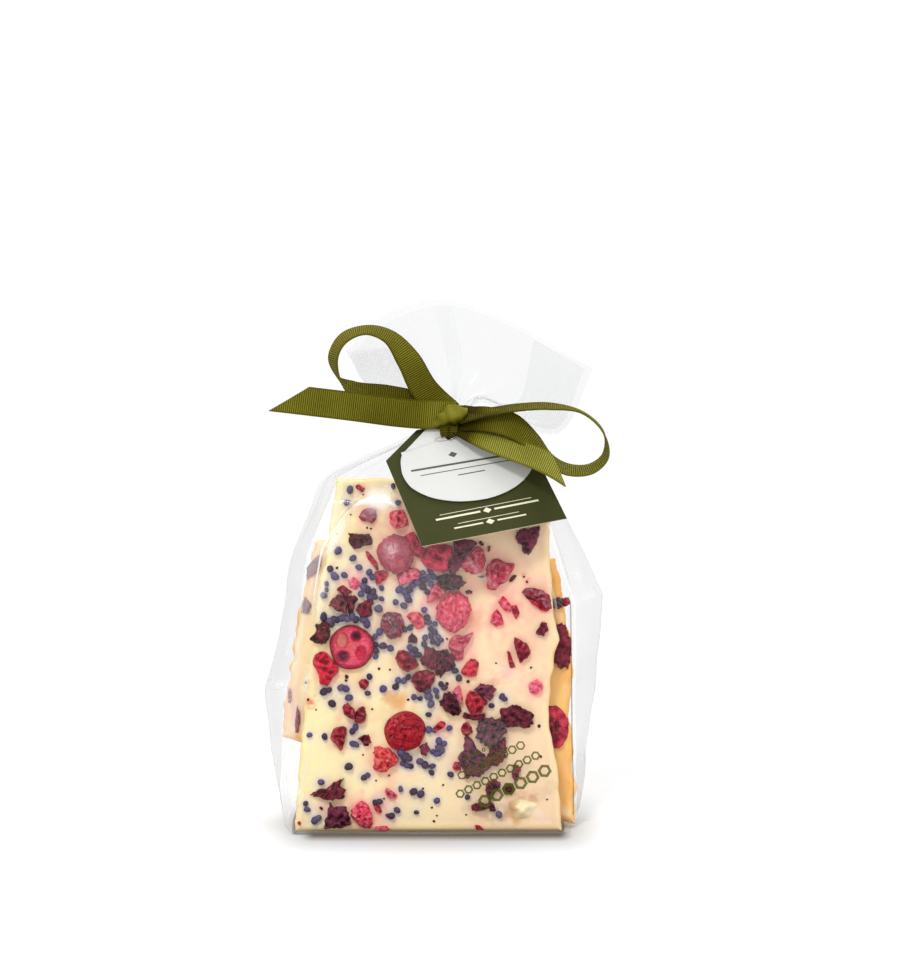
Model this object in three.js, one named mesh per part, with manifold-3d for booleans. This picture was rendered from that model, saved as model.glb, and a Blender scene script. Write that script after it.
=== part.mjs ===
// A clear film gift bag of white chocolate bark, tied at the neck with a grosgrain ribbon bow
// that carries two paper swing tags.
// Millimetres, +Z up. The front faces -Y, and the origin lies on the floor under the middle
// of the bag's base.
import * as THREE from "three";
import { mergeVertices } from "three/addons/utils/BufferGeometryUtils.js";
import Module from "manifold-3d";

const wasm = await Module();
wasm.setup();

// The bag: a block-bottom bag of 100 x 45 mm whose sides puff out to a ridge.
// Each track lists [height, distance from the middle plane].
const bag = {
  leftReach: [[0, 50], [15, 54.2], [46, 57.4], [64, 52.8], [95, 47.3], [116, 36.9], [119, 31], [126, 20.5], [136, -0.8]],
  rightReach: [[0, 48.8], [22, 52.2], [79, 58], [104, 45], [127, 29], [136, 13.2]],
  leftFold: [[0, 0.5], [50, 8], [112, 4.5], [136, 0.5]],
  rightFold: [[0, 0.5], [28, 5], [79, 11], [112, 4.5], [136, 0.5]],
  frontDepth: [[0, 21.5], [5, 22.5], [55, 23], [90, 20.5], [112, 16], [122, 10], [130, 6], [136, 4.6]],
  backDepth: [[0, 21.5], [5, 22.5], [55, 23.5], [90, 21], [110, 16], [122, 10], [130, 6], [136, 4.6]],
  bulge: 1.6,
  trackSmoothing: 1.5,
  footRound: 2.5,
  leftFootRound: 4,
  rightFootRound: 7,
};
const neck = { x: 7, bottom: 136, top: 143.5, halfWidth: 6.2, halfDepth: 4.6, gatherFrom: 112 };
const pleats = { count: 12, depth: 0.5, fadeBelow: 26 };

// The flare above the tie, in three sections: a collar just over the band, the widest line, and the open
// mouth. The last two list their front edge and back edge from left to right, and the tucked-in side folds.
const collar = { halfWidth: 9.4, halfDepth: 5, height: 145.5 };
const belly = {
  front: [[-21.5, -1.5, 149], [-10, -2.6, 155.5], [7, -4, 160], [25, -2.8, 152], [41.3, -1.5, 134]],
  back: [[-21.5, 4.5, 148.5], [-10, 7, 154], [7, 8.5, 158], [25, 7, 150.5], [41, 4.5, 134.5]],
  leftFold: [-8, 1.5, 151],
  rightFold: [28, 1.5, 144],
};
const mouth = {
  front: [[-29.4, -1.5, 161.4], [-18.4, -2.4, 172.6], [2, -3.8, 179], [21, -2.8, 173.6], [53.6, -1, 155.8]],
  back: [[-28.4, 5, 159.5], [-17, 7.5, 169.5], [3, 9.5, 176], [23, 7.5, 170.5], [51, 4.5, 155]],
  leftFold: [-13.4, 1.5, 163],
  rightFold: [33.8, 1.5, 165],
};
const hollow = [10, 2.5, 158];

// Where the panels of the bag meet, as shares of the way round, anticlockwise from the front left corner.
const seams = { frontRight: 1 / 3, rightRidge: 5 / 12, backRight: 1 / 2, backLeft: 5 / 6, leftRidge: 11 / 12 };
const mesh = { around: 72, flareRows: 9, neckRows: 3, rounding: 0.014 };
const bodyHeights = [
  0, 0.7, 2.4, 5, 8, 14, 22, 32, 40, 46, 52, 60, 70, 79, 88, 96, 104, 111, 115.5, 119, 122, 125.5, 129, 132.5, 135,
];

// The ribbon: one 10 mm strip tied in a bow round the neck.
const ribbon = { width: 9.7, thickness: 0.8 };
const band = { halfWidth: 7.1, thickness: 1, height: 7.2, squash: 0.8, middle: 139.8 };
const knot = { centre: [8.2, -10.4, 141.3], halfSize: [6, 4.5, 3.6], tilt: 0.35 };

// Each strand: points on its middle line, each with the direction across the strip, near edge to far edge.
const strands = {
  leftTail: [
    [[7, -11.5, 141.2], [0.1, 0.1, 0.9]],
    [[-1.2, -12.5, 141.2], [0.08, 0.1, 1]],
    [[-11.2, -13.4, 142], [0.1, 0.05, 1]],
    [[-28, -14.4, 144.3], [0.13, 0, 1]],
    [[-54.5, -15.8, 147.6], [0.13, -0.05, 1]],
  ],
  rightTail: [
    [[7.5, -11.5, 138.8], [0.3, 0.6, 0.7]],
    [[15.5, -14.4, 134.4], [0.25, 0.7, 0.66]],
    [[22.2, -15.4, 131.5], [0.23, 0.72, 0.65]],
    [[35.6, -16.6, 126.5], [0.3, 0.7, 0.64]],
    [[40.9, -17, 123.9], [0.38, 0.68, 0.6]],
    [[46.1, -17.2, 120.7], [0.42, 0.68, 0.58]],
  ],
  leftLoop: [
    [[5, -11, 141.5], [0.75, 0.25, 0.6]],
    [[-3.2, -10.8, 150], [0.8, 0.4, 0.42]],
    [[-8.4, -10, 159.6], [0.7, 0.65, 0.35]],
    [[-14.8, -9.2, 167.2], [0.25, 0.92, 0.31]],
    [[-22.5, -8.6, 169.5], [0.02, 0.97, 0.22]],
    [[-30.3, -8.6, 166.6], [-0.22, 0.95, 0.2]],
    [[-33.8, -8.6, 160], [-0.33, 0.94, 0]],
    [[-31.8, -8.6, 152.8], [-0.17, 0.97, 0.1]],
    [[-27, -8.6, 149], [0, 0.85, 0.52]],
    [[-15, -9, 146.8], [0.05, 0.7, 0.7]],
    [[5, -10.4, 142], [0.2, 0.4, 0.88]],
  ],
  rightLoop: [
    [[9.5, -10.8, 140.8], [0.1, 0.6, 0.7]],
    [[18, -9.9, 141], [0.05, 0.9, 0.32]],
    [[27.3, -9, 142.6], [0.05, 0.95, 0.3]],
    [[39, -8.6, 143.2], [0.03, 0.97, 0.22]],
    [[50, -8.4, 141], [0.02, 1, 0.06]],
    [[57, -8.4, 134.5], [0, 1, 0]],
    [[57.6, -8.4, 127], [-0.15, 0.98, 0.05]],
    [[52.8, -8.6, 122.7], [-0.12, 0.97, 0.2]],
    [[45.1, -8.8, 122.5], [0.05, 0.96, 0.28]],
    [[39.5, -9.3, 126], [0.24, 0.93, 0.2]],
    [[34.2, -10.2, 132.2], [0.36, 0.83, 0.41]],
    [[27.3, -11.6, 137.2], [0.25, 0.6, 0.76]],
    [[18, -12, 138.8], [0.1, 0.6, 0.78]],
    [[9.5, -11.4, 139.6], [0.1, 0.6, 0.7]],
  ],
};
const strandSteps = { leftTail: 16, rightTail: 18, leftLoop: 50, rightLoop: 56 };
const endCut = { leftTail: 12.5, rightTail: 10 };
const hanger = {
  points: [
    [5.8, -12, 139.4], [5, -15, 137.4], [4.7, -14.7, 135], [4.6, -12.3, 133.7],
    [4.6, -10.2, 132.9], [4.7, -8.4, 133.8], [5.2, -7.4, 137], [5.4, -7.2, 139],
  ],
  width: 3,
  thickness: 0.8,
  steps: 22,
};

// The swing tags lie in front of the shoulder. A point of a tag is (across, up) in its own flat outline.
const lean = {
  corner: [-3.7, -30, 99.1],
  across: [0.911, 0, 0.174],
  up: [-0.377, 0.4, 0.726],
  bend: 16,
  bendWidth: 53,
  bendFade: 80,
  bendDrop: 0.123,
};
const tagHole = { across: 26.3, up: 41.6, radius: 2.1 };
const card = { width: 53, shoulder: 36.5, top: 45.3, topHalf: 7.5, thickness: 0.5 };
const label = {
  turn: -5 * (Math.PI / 180),
  middle: 3.5,
  halfWidth: 21.8,
  bellyLine: -13.4,
  belly: 13.4,
  upperCurve: 24,
  shoulder: -5,
  top: 3,
  topHalf: 7.6,
  thickness: 0.45,
  inFront: 1.1,
};

const lerp = (a, b, share) => a + (b - a) * share;
const mix = (a, b, share) => a.map((value, i) => lerp(value, b[i], share));
const smooth = (share) => {
  const s = Math.min(1, Math.max(0, share));
  return s * s * (3 - 2 * s);
};

// Value of a track at a height, with straight runs between its knots.
function onTrack(track, height) {
  let i = 1;
  while (i < track.length - 1 && track[i][0] < height) i += 1;
  const [low, high] = [track[i - 1], track[i]];
  const share = Math.min(1, Math.max(0, (height - low[0]) / (high[0] - low[0])));
  return lerp(low[1], high[1], share);
}

// The same value averaged over a short height, so that the film turns softly at each knot.
function reach(track, height) {
  const span = bag.trackSmoothing;
  return [-1, -0.5, 0, 0.5, 1].reduce((sum, k) => sum + onTrack(track, height + k * span) / 5, 0);
}

// How far a foot of this radius draws in at a height above the floor.
function footInset(radius, height) {
  const share = Math.min(1, height / radius);
  return radius * (1 - Math.sqrt(1 - (1 - share) ** 2));
}

// A point of a closed outline given by its corners and their shares of the way round.
function onOutline(corners, share) {
  const turn = ((share % 1) + 1) % 1;
  let i = corners.findIndex((corner) => corner.share > turn);
  if (i < 0) i = corners.length;
  const from = corners[(i - 1 + corners.length) % corners.length];
  const to = corners[i % corners.length];
  const fromShare = i === 0 ? from.share - 1 : from.share;
  const toShare = i === corners.length ? to.share + 1 : to.share;
  return mix(from.at, to.at, (turn - fromShare) / (toShare - fromShare));
}

// The corners of the bag's section at a height: four panel corners, two side ridges and two bulges.
function sectionCorners(height) {
  const left = reach(bag.leftReach, height) - footInset(bag.leftFootRound, height);
  const right = reach(bag.rightReach, height) - footInset(bag.rightFootRound, height);
  const foot = footInset(bag.footRound, height);
  const front = -reach(bag.frontDepth, height) + foot;
  const back = reach(bag.backDepth, height) - foot;
  const leftCorner = -left + reach(bag.leftFold, height);
  const rightCorner = right - reach(bag.rightFold, height);
  const middle = (leftCorner + rightCorner) / 2;
  return [
    { share: 0, at: [leftCorner, front] },
    { share: seams.frontRight / 2, at: [middle, front - bag.bulge] },
    { share: seams.frontRight, at: [rightCorner, front] },
    { share: seams.rightRidge, at: [right, 0] },
    { share: seams.backRight, at: [rightCorner, back] },
    { share: (seams.backRight + seams.backLeft) / 2, at: [middle, back + bag.bulge] },
    { share: seams.backLeft, at: [leftCorner, back] },
    { share: seams.leftRidge, at: [-left, 0] },
  ];
}

// A point of the gathered neck: an oval with pleats. The angle follows the panels round.
function ovalPoint(share, centre, halfWidth, halfDepth, depth) {
  const angle = 2 * Math.PI * (share - seams.frontRight / 2) - Math.PI / 2;
  const swell = depth * Math.cos(2 * Math.PI * pleats.count * share);
  return [centre + (halfWidth + swell) * Math.cos(angle), (halfDepth + swell) * Math.sin(angle)];
}

// A point of the bag below the tie. The panels' corners are rounded by averaging along the outline.
// Towards the neck the section turns from panels into an oval that reaches as far.
function bodyPoint(share, height) {
  const corners = sectionCorners(height);
  const taps = [-1, -0.67, -0.33, 0, 0.33, 0.67, 1];
  const panel = [0, 0];
  for (const tap of taps) {
    const [x, y] = onOutline(corners, share + tap * mesh.rounding);
    panel[0] += x / taps.length;
    panel[1] += y / taps.length;
  }
  const [left, right] = [reach(bag.leftReach, height), reach(bag.rightReach, height)];
  const pleatDepth = pleats.depth * smooth((height - neck.bottom + pleats.fadeBelow) / pleats.fadeBelow);
  const oval = ovalPoint(
    share,
    (right - left) / 2,
    (right + left) / 2,
    reach(bag.frontDepth, height),
    pleatDepth,
  );
  const gathered = smooth((height - neck.gatherFrom) / (neck.bottom - neck.gatherFrom));
  return [...mix(panel, oval, gathered), height];
}

// A closed line round a section of the flare, by the same shares as the panels.
const vector = (point) => new THREE.Vector3(...point);
function sectionLine(section) {
  const front = new THREE.CatmullRomCurve3(section.front.map(vector));
  const back = new THREE.CatmullRomCurve3(section.back.map(vector));
  const { frontRight, rightRidge, backRight, backLeft, leftRidge } = seams;
  const [frontLeftEnd, frontRightEnd] = [section.front.at(0), section.front.at(-1)];
  const [backLeftEnd, backRightEnd] = [section.back.at(0), section.back.at(-1)];
  const along = (from, to, start, end) => (share) => mix(from, to, (share - start) / (end - start));
  const stretches = [
    [frontRight, (share) => front.getPoint(share / frontRight).toArray()],
    [rightRidge, along(frontRightEnd, section.rightFold, frontRight, rightRidge)],
    [backRight, along(section.rightFold, backRightEnd, rightRidge, backRight)],
    [backLeft, (share) => back.getPoint((backLeft - share) / (backLeft - backRight)).toArray()],
    [leftRidge, along(backLeftEnd, section.leftFold, backLeft, leftRidge)],
    [1, along(section.leftFold, frontLeftEnd, leftRidge, 1)],
  ];
  return (share) => stretches.find(([end]) => share <= end)[1](share);
}
const bellyLine = sectionLine(belly);
const mouthLine = sectionLine(mouth);

// A point of the flare above the tie: a smooth curve from the neck through the collar and the belly.
function flarePoint(share, rise) {
  const start = [...ovalPoint(share, neck.x, neck.halfWidth, neck.halfDepth, pleats.depth), neck.top];
  const next = [...ovalPoint(share, neck.x, collar.halfWidth, collar.halfDepth, pleats.depth), collar.height];
  const line = [start, next, bellyLine(share), mouthLine(share)];
  return new THREE.CatmullRomCurve3(line.map(vector)).getPoint(rise).toArray();
}

// A closed surface from rings of points, with a flat or pointed cap on each end.
function closedRings(rings, bottomCentre, topCentre) {
  const around = rings[0].length;
  const positions = [...rings.flat(), bottomCentre, topCentre].flat();
  const bottom = rings.length * around;
  const top = bottom + 1;
  const index = [];
  for (let i = 0; i < around; i += 1) {
    const next = (i + 1) % around;
    index.push(bottom, next, i);
    const last = (rings.length - 1) * around;
    index.push(top, last + i, last + next);
    for (let row = 0; row < rings.length - 1; row += 1) {
      const [a, b] = [row * around + i, row * around + next];
      index.push(a, b, b + around, a, b + around, a + around);
    }
  }
  return solidGeometry(positions, index);
}

// An indexed geometry with its faces turned outwards.
function solidGeometry(positions, index) {
  let volume = 0;
  const corner = (i) => vector(positions.slice(3 * i, 3 * i + 3));
  for (let i = 0; i < index.length; i += 3)
    volume += corner(index[i]).dot(corner(index[i + 1]).cross(corner(index[i + 2])));
  if (volume < 0) index.reverse();
  const geometry = new THREE.BufferGeometry();
  geometry.setAttribute("position", new THREE.Float32BufferAttribute(positions, 3));
  geometry.setIndex(index);
  geometry.computeVertexNormals();
  return geometry;
}

// A thin solid over a surface of two shares, thickened equally to both sides.
function sheetGeometry(point, rows, columns, thickness) {
  const step = 1e-3;
  const faces = [1, -1].map((side) => {
    const grid = [];
    for (let i = 0; i <= rows; i += 1)
      for (let j = 0; j <= columns; j += 1) {
        const [u, v] = [i / rows, j / columns];
        const [u0, u1] = [Math.max(0, u - step), Math.min(1, u + step)];
        const [v0, v1] = [Math.max(0, v - step), Math.min(1, v + step)];
        const along = vector(point(u1, v)).sub(vector(point(u0, v)));
        const across = vector(point(u, v1)).sub(vector(point(u, v0)));
        const normal = along.cross(across).normalize().multiplyScalar((side * thickness) / 2);
        grid.push(vector(point(u, v)).add(normal).toArray());
      }
    return grid;
  });
  const perRow = columns + 1;
  const back = faces[0].length;
  const index = [];
  const quad = (a, b, c, d) => index.push(a, b, c, a, c, d);
  for (let i = 0; i < rows; i += 1)
    for (let j = 0; j < columns; j += 1) {
      const a = i * perRow + j;
      quad(a, a + perRow, a + perRow + 1, a + 1);
      quad(back + a, back + a + 1, back + a + perRow + 1, back + a + perRow);
    }
  for (let i = 0; i < rows; i += 1) {
    const [a, b] = [i * perRow, i * perRow + columns];
    quad(a + perRow, a, back + a, back + a + perRow);
    quad(b, b + perRow, back + b + perRow, back + b);
  }
  for (let j = 0; j < columns; j += 1) {
    const b = rows * perRow + j;
    quad(j, j + 1, back + j + 1, back + j);
    quad(b + 1, b, back + b, back + b + 1);
  }
  return solidGeometry(faces.flat(2), index);
}

function bagGeometry() {
  const shares = Array.from({ length: mesh.around }, (_, i) => i / mesh.around);
  const rings = bodyHeights.map((height) => shares.map((share) => bodyPoint(share, height)));
  for (let row = 0; row <= mesh.neckRows; row += 1) {
    const height = lerp(neck.bottom, neck.top, row / mesh.neckRows);
    rings.push(
      shares.map((share) => [
        ...ovalPoint(share, neck.x, neck.halfWidth, neck.halfDepth, pleats.depth),
        height,
      ]),
    );
  }
  for (let row = 1; row <= mesh.flareRows; row += 1)
    rings.push(shares.map((share) => flarePoint(share, row / mesh.flareRows)));
  return closedRings(rings, [0, 0, 0], hollow);
}

// A strand of ribbon along its points. A tail's end is cut on the slant, longer at its near edge.
function strandGeometry(name) {
  const points = strands[name];
  const line = new THREE.CatmullRomCurve3(points.map(([at]) => vector(at)));
  const turns = new THREE.CatmullRomCurve3(points.map(([, across]) => vector(across).normalize()));
  const cut = (endCut[name] ?? 0) / line.getLength();
  const point = (u, v) => {
    const along = line.getUtoTmapping(u * (1 - cut * v));
    const across = turns.getPoint(along).normalize();
    return line.getPoint(along).addScaledVector(across, (v - 0.5) * ribbon.width).toArray();
  };
  return sheetGeometry(point, strandSteps[name], 1, ribbon.thickness);
}

function hangerGeometry() {
  const line = new THREE.CatmullRomCurve3(hanger.points.map(vector));
  const point = (u, v) => line.getPoint(u).add(vector([(v - 0.5) * hanger.width, 0, 0])).toArray();
  return sheetGeometry(point, hanger.steps, 1, hanger.thickness);
}

function bandGeometry() {
  const [inner, outer] = [band.halfWidth, band.halfWidth + band.thickness];
  const half = band.height / 2;
  const profile = [[inner, -half], [outer, -half], [outer, half], [inner, half], [inner, -half]];
  const geometry = new THREE.LatheGeometry(profile.map(([r, z]) => new THREE.Vector2(r, z)), 28);
  geometry.rotateX(Math.PI / 2);
  geometry.scale(1, band.squash, 1);
  return geometry.translate(neck.x, 0, band.middle);
}

function knotGeometry() {
  const geometry = new THREE.SphereGeometry(1, 18, 12);
  geometry.scale(...knot.halfSize);
  geometry.rotateY(-knot.tilt);
  return geometry.translate(...knot.centre);
}

// Solids of the manifold library, used only to join and cut.
function toSolid(geometry) {
  const bare = geometry.clone();
  bare.deleteAttribute("normal");
  bare.deleteAttribute("uv");
  const merged = mergeVertices(bare, 1e-4);
  const triVerts = new Uint32Array(merged.index.array);
  const vertProperties = new Float32Array(merged.attributes.position.array);
  return new wasm.Manifold(new wasm.Mesh({ numProp: 3, vertProperties, triVerts }));
}

function toGeometry(solid) {
  const { vertProperties, triVerts } = solid.getMesh();
  return solidGeometry([...vertProperties], [...triVerts]);
}

function ribbonGeometry() {
  const pieces = [
    ...Object.keys(strands).map(strandGeometry),
    hangerGeometry(),
    bandGeometry(),
    knotGeometry(),
  ];
  return toGeometry(pieces.map(toSolid).reduce((whole, piece) => whole.add(piece)));
}

// Where a point of a tag's flat outline comes to lie. The tag leans on the shoulder and bends round it.
function tagPoint(across, up, inFront) {
  const bent = lean.bend * (across / lean.bendWidth) ** 2 * (1 - up / lean.bendFade);
  return [
    lean.corner[0] + across * lean.across[0] + up * lean.up[0],
    lean.corner[1] + up * lean.up[1] + bent - inFront,
    lean.corner[2] + across * lean.across[2] + up * lean.up[2] - bent * lean.bendDrop,
  ];
}

// A tag with a round hole for the ribbon.
function tagGeometry(point, rows, columns, thickness, inFront) {
  const plate = toSolid(sheetGeometry(point, rows, columns, thickness));
  const centre = vector(tagPoint(tagHole.across, tagHole.up, inFront));
  const along = vector(tagPoint(tagHole.across + 1, tagHole.up, inFront)).sub(centre);
  const upward = vector(tagPoint(tagHole.across, tagHole.up + 1, inFront)).sub(centre);
  const normal = along.cross(upward).normalize();
  const drill = new THREE.CylinderGeometry(tagHole.radius, tagHole.radius, 6, 20);
  drill.applyQuaternion(new THREE.Quaternion().setFromUnitVectors(vector([0, 1, 0]), normal));
  drill.translate(...centre.toArray());
  return toGeometry(plate.subtract(toSolid(drill)));
}

// The card: a rectangle whose top corners are cut off.
function cardGeometry() {
  const rows = 12;
  const straightRows = 8;
  const point = (u, v) => {
    const step = u * rows;
    const up =
      step <= straightRows
        ? (card.shoulder * step) / straightRows
        : lerp(card.shoulder, card.top, (step - straightRows) / (rows - straightRows));
    const cut = Math.max(0, (up - card.shoulder) / (card.top - card.shoulder));
    const half = lerp(card.width / 2, card.topHalf, cut);
    return tagPoint(card.width / 2 + (2 * v - 1) * half, up, 0);
  };
  return tagGeometry(point, rows, 12, card.thickness, 0);
}

// Half the label's width at a height measured from its hole: a round belly under cut corners.
function labelHalfWidth(up) {
  const rise = up - label.bellyLine;
  const curve = rise < 0 ? label.belly : label.upperCurve;
  const round = label.halfWidth * Math.sqrt(Math.max(0, 1 - (rise / curve) ** 2));
  if (up <= label.shoulder) return round;
  return lerp(round, label.topHalf, smooth((up - label.shoulder) / (label.top - label.shoulder)));
}

function labelGeometry() {
  const bottom = label.bellyLine - label.belly;
  const start = 0.08;
  const point = (u, v) => {
    const share = 1 - Math.cos((lerp(start, 1, u) * Math.PI) / 2);
    const up = lerp(bottom, label.top, share);
    const half = labelHalfWidth(up);
    const middle = lerp(label.middle, 0, smooth((up - label.bellyLine) / -label.bellyLine));
    const across = middle + (2 * v - 1) * half;
    const [cos, sin] = [Math.cos(label.turn), Math.sin(label.turn)];
    return tagPoint(
      tagHole.across + across * cos - up * sin,
      tagHole.up + across * sin + up * cos,
      label.inFront,
    );
  };
  return tagGeometry(point, 22, 14, label.thickness, label.inFront);
}

const finishes = {
  film: new THREE.MeshStandardMaterial({
    color: "#eceeee",
    roughness: 0.08,
    metalness: 0,
    transparent: true,
    opacity: 0.35,
  }),
  grosgrain: new THREE.MeshStandardMaterial({ color: "#777426", roughness: 0.62, metalness: 0 }),
  greenCard: new THREE.MeshStandardMaterial({ color: "#454b2b", roughness: 0.55, metalness: 0 }),
  whiteCard: new THREE.MeshStandardMaterial({ color: "#e7e8e6", roughness: 0.6, metalness: 0 }),
};

function piece(name, geometry, material) {
  const made = new THREE.Mesh(geometry, material);
  made.name = name;
  return made;
}

const giftBag = new THREE.Group();
giftBag.add(
  piece("bag", bagGeometry(), finishes.film),
  piece("ribbon_bow", ribbonGeometry(), finishes.grosgrain),
  piece("green_tag", cardGeometry(), finishes.greenCard),
  piece("white_tag", labelGeometry(), finishes.whiteCard),
);

export default giftBag;
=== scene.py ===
# A clear film gift bag of white chocolate bark, tied with a grosgrain bow that holds two swing tags.
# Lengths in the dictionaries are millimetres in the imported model's frame: +Z up, the front looks along -Y.
# Blender's own unit is the metre, so a length is divided by 1000 where it reaches Blender.
import math

import bpy
import numpy as np
from mathutils import Matrix, Vector


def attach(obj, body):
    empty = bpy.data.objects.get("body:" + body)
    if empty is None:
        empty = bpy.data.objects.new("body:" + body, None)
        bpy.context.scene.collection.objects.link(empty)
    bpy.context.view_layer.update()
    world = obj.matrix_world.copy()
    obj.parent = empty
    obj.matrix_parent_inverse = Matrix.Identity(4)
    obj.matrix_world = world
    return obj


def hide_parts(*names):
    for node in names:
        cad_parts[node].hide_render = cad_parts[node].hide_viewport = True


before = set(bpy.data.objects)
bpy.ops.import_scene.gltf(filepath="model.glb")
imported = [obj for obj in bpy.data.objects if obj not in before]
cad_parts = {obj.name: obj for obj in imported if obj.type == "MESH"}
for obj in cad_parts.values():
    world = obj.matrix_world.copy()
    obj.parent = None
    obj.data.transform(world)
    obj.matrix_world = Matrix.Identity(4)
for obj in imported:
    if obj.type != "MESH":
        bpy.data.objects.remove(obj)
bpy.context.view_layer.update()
scene = bpy.context.scene
print("frame loaded with", len(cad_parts), "nodes")


# camera
view = {"target": (5.34, -20.0, 119.65), "distance": 1500.0, "elevation": 7.0, "frameHeight": 321.16,
        "sensor": 24}


def addCamera():
    # looks at the target from the front, raised by the elevation; the frame's height is that at the target
    turn = math.radians(view["elevation"])
    away = Vector((0, -math.cos(turn), math.sin(turn))) * view["distance"]
    data = bpy.data.cameras.new("camera")
    data.sensor_fit = "VERTICAL"
    data.sensor_height = view["sensor"]
    data.lens = view["sensor"] * view["distance"] / view["frameHeight"]
    data.clip_end = 200  # metres, past the floor's far edge
    made = bpy.data.objects.new("camera", data)
    made.location = (Vector(view["target"]) + away) / 1000
    made.rotation_euler = (math.radians(90 - view["elevation"]), 0, 0)
    scene.collection.objects.link(made)
    scene.camera = made


addCamera()
print("camera placed")


# numbers and curves
def linearColour(red, green, blue):
    # a screen colour of 0 to 255 as light: ((c + 0.055) / 1.055) ^ 2.4, or c / 12.92 where it is darkest
    share = np.array([red, green, blue], float) / 255
    light = np.where(share > 0.04045, ((share + 0.055) / 1.055) ** 2.4, share / 12.92)
    return (*light.tolist(), 1.0)


def shadeOf(colour):
    # the same light as an array of three, for colours that go into a mesh
    return np.array(linearColour(*colour)[:3])


def laid(under, over, share):
    # one colour laid over another: u (1 - s) + o s
    return under * (1 - share) + over * share


def smoothStep(value):
    # 0 below 0, 1 above 1, and 3s^2 - 2s^3 between them
    s = np.clip(value, 0, 1)
    return s * s * (3 - 2 * s)


def onTrack(track, at):
    # a track is points [place, value], with straight runs between them
    return np.interp(at, *np.array(track, float).T)


def unit(vectors):
    return vectors / np.maximum(np.linalg.norm(vectors, axis=-1, keepdims=True), 1e-9)


def curvePoint(points, at):
    # centripetal Catmull-Rom: between two points a cubic, its slopes weighed by the roots of the gaps
    knots = np.asarray(points, float)
    ends = np.concatenate([[2 * knots[0] - knots[1]], knots, [2 * knots[-1] - knots[-2]]])
    step = np.clip(np.asarray(at, float), 0, 1) * (len(knots) - 1)
    first = np.minimum(step.astype(int), len(knots) - 2)
    w = (step - first).reshape((-1,) + (1,) * (knots.ndim - 1))
    p0, p1, p2, p3 = (ends[first + k] for k in range(4))
    d0, d1, d2 = (np.maximum(np.linalg.norm(b - a, axis=-1, keepdims=True) ** 0.5, 1e-4)
                  for a, b in ((p0, p1), (p1, p2), (p2, p3)))
    t1 = ((p1 - p0) / d0 - (p2 - p0) / (d0 + d1) + (p2 - p1) / d1) * d1
    t2 = ((p2 - p1) / d1 - (p3 - p1) / (d1 + d2) + (p3 - p2) / d2) * d1
    return p1 + t1 * w + (3 * (p2 - p1) - 2 * t1 - t2) * w**2 + (2 * (p1 - p2) + t1 + t2) * w**3


def evenRun(points, count=600):
    # for a curve: a function from a share of its length to its own parameter, and its length
    at = np.linspace(0, 1, count)
    line = curvePoint(points, at)
    run = np.concatenate([[0], np.cumsum(np.linalg.norm(np.diff(line, axis=0), axis=1))])
    return lambda share: np.interp(np.asarray(share) * run[-1], run, at), run[-1]


def wander(points, size, seed, terms=9):
    # soft noise of about -1 to 1: a mean of sines along random directions, with waves about size long
    rng = np.random.default_rng(seed)
    heading = unit(rng.normal(size=(terms, points.shape[-1])))
    pitch = 2 * np.pi / (size * rng.uniform(0.7, 1.5, terms))
    phase = rng.uniform(0, 2 * np.pi, terms)
    return np.sin(points @ (heading * pitch[:, None]).T + phase).sum(-1) / math.sqrt(terms)


# meshes
def gridFaces(number, closeAcross=False):
    # the quads between neighbours in a grid of point numbers, and from its last column to its first if closed
    n = np.concatenate([number, number[:, :1]], axis=1) if closeAcross else number
    return np.stack([n[:-1, :-1], n[:-1, 1:], n[1:, 1:], n[1:, :-1]], -1).reshape(-1, 4)


def enclosed(points, quads, triangles):
    # six times the volume that the faces enclose, positive where they face outwards
    fans = np.concatenate([quads[:, [0, 1, 2]], quads[:, [0, 2, 3]], triangles])
    a, b, c = (points[fans[:, k]] for k in range(3))
    return float((a * np.cross(b, c)).sum())


noTriangles = np.zeros((0, 3), int)


def makePiece(name, points, quads, triangles=noTriangles, finish=None, closed=True, marks=None, crease=40):
    # one mesh piece from points in millimetres, turned outwards where it's closed, that rides on body root
    points = np.asarray(points, float)
    if closed and enclosed(points, quads, triangles) < 0:
        quads, triangles = quads[:, ::-1], triangles[:, ::-1]
    mesh = bpy.data.meshes.new(name)
    mesh.vertices.add(len(points))
    mesh.vertices.foreach_set("co", (points / 1000).astype(np.float32).ravel())
    corners = np.concatenate([quads.ravel(), triangles.ravel()]).astype(np.int32)
    mesh.loops.add(len(corners))
    mesh.loops.foreach_set("vertex_index", corners)
    starts = np.concatenate([np.arange(len(quads)) * 4, len(quads) * 4 + np.arange(len(triangles)) * 3])
    mesh.polygons.add(len(starts))
    mesh.polygons.foreach_set("loop_start", starts.astype(np.int32))
    mesh.update(calc_edges=True)
    for label, values in (marks or {}).items():
        flat = np.asarray(values, np.float32)
        kind, slot = ("FLOAT_COLOR", "color") if flat.shape[1] == 4 else ("FLOAT_VECTOR", "vector")
        mesh.attributes.new(label, kind, "POINT").data.foreach_set(slot, flat.ravel())
    mesh.shade_smooth()
    mesh.set_sharp_from_angle(angle=math.radians(crease))
    made = bpy.data.objects.new(name, mesh)
    scene.collection.objects.link(made)
    if finish:
        made.data.materials.append(finish)
    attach(made, "root")
    return made


def joined(parts):
    # several (points, quads, triangles, marks) as one, with the point numbers moved on
    points, quads, triangles, marks, count = [], [], [], {}, 0
    for p, q, t, m in parts:
        points.append(p)
        quads.append(q + count)
        triangles.append(t + count)
        for label, values in m.items():
            marks.setdefault(label, []).append(values)
        count += len(p)
    return (np.concatenate(points), np.concatenate(quads), np.concatenate(triangles),
            {label: np.concatenate(values) for label, values in marks.items()})


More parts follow.
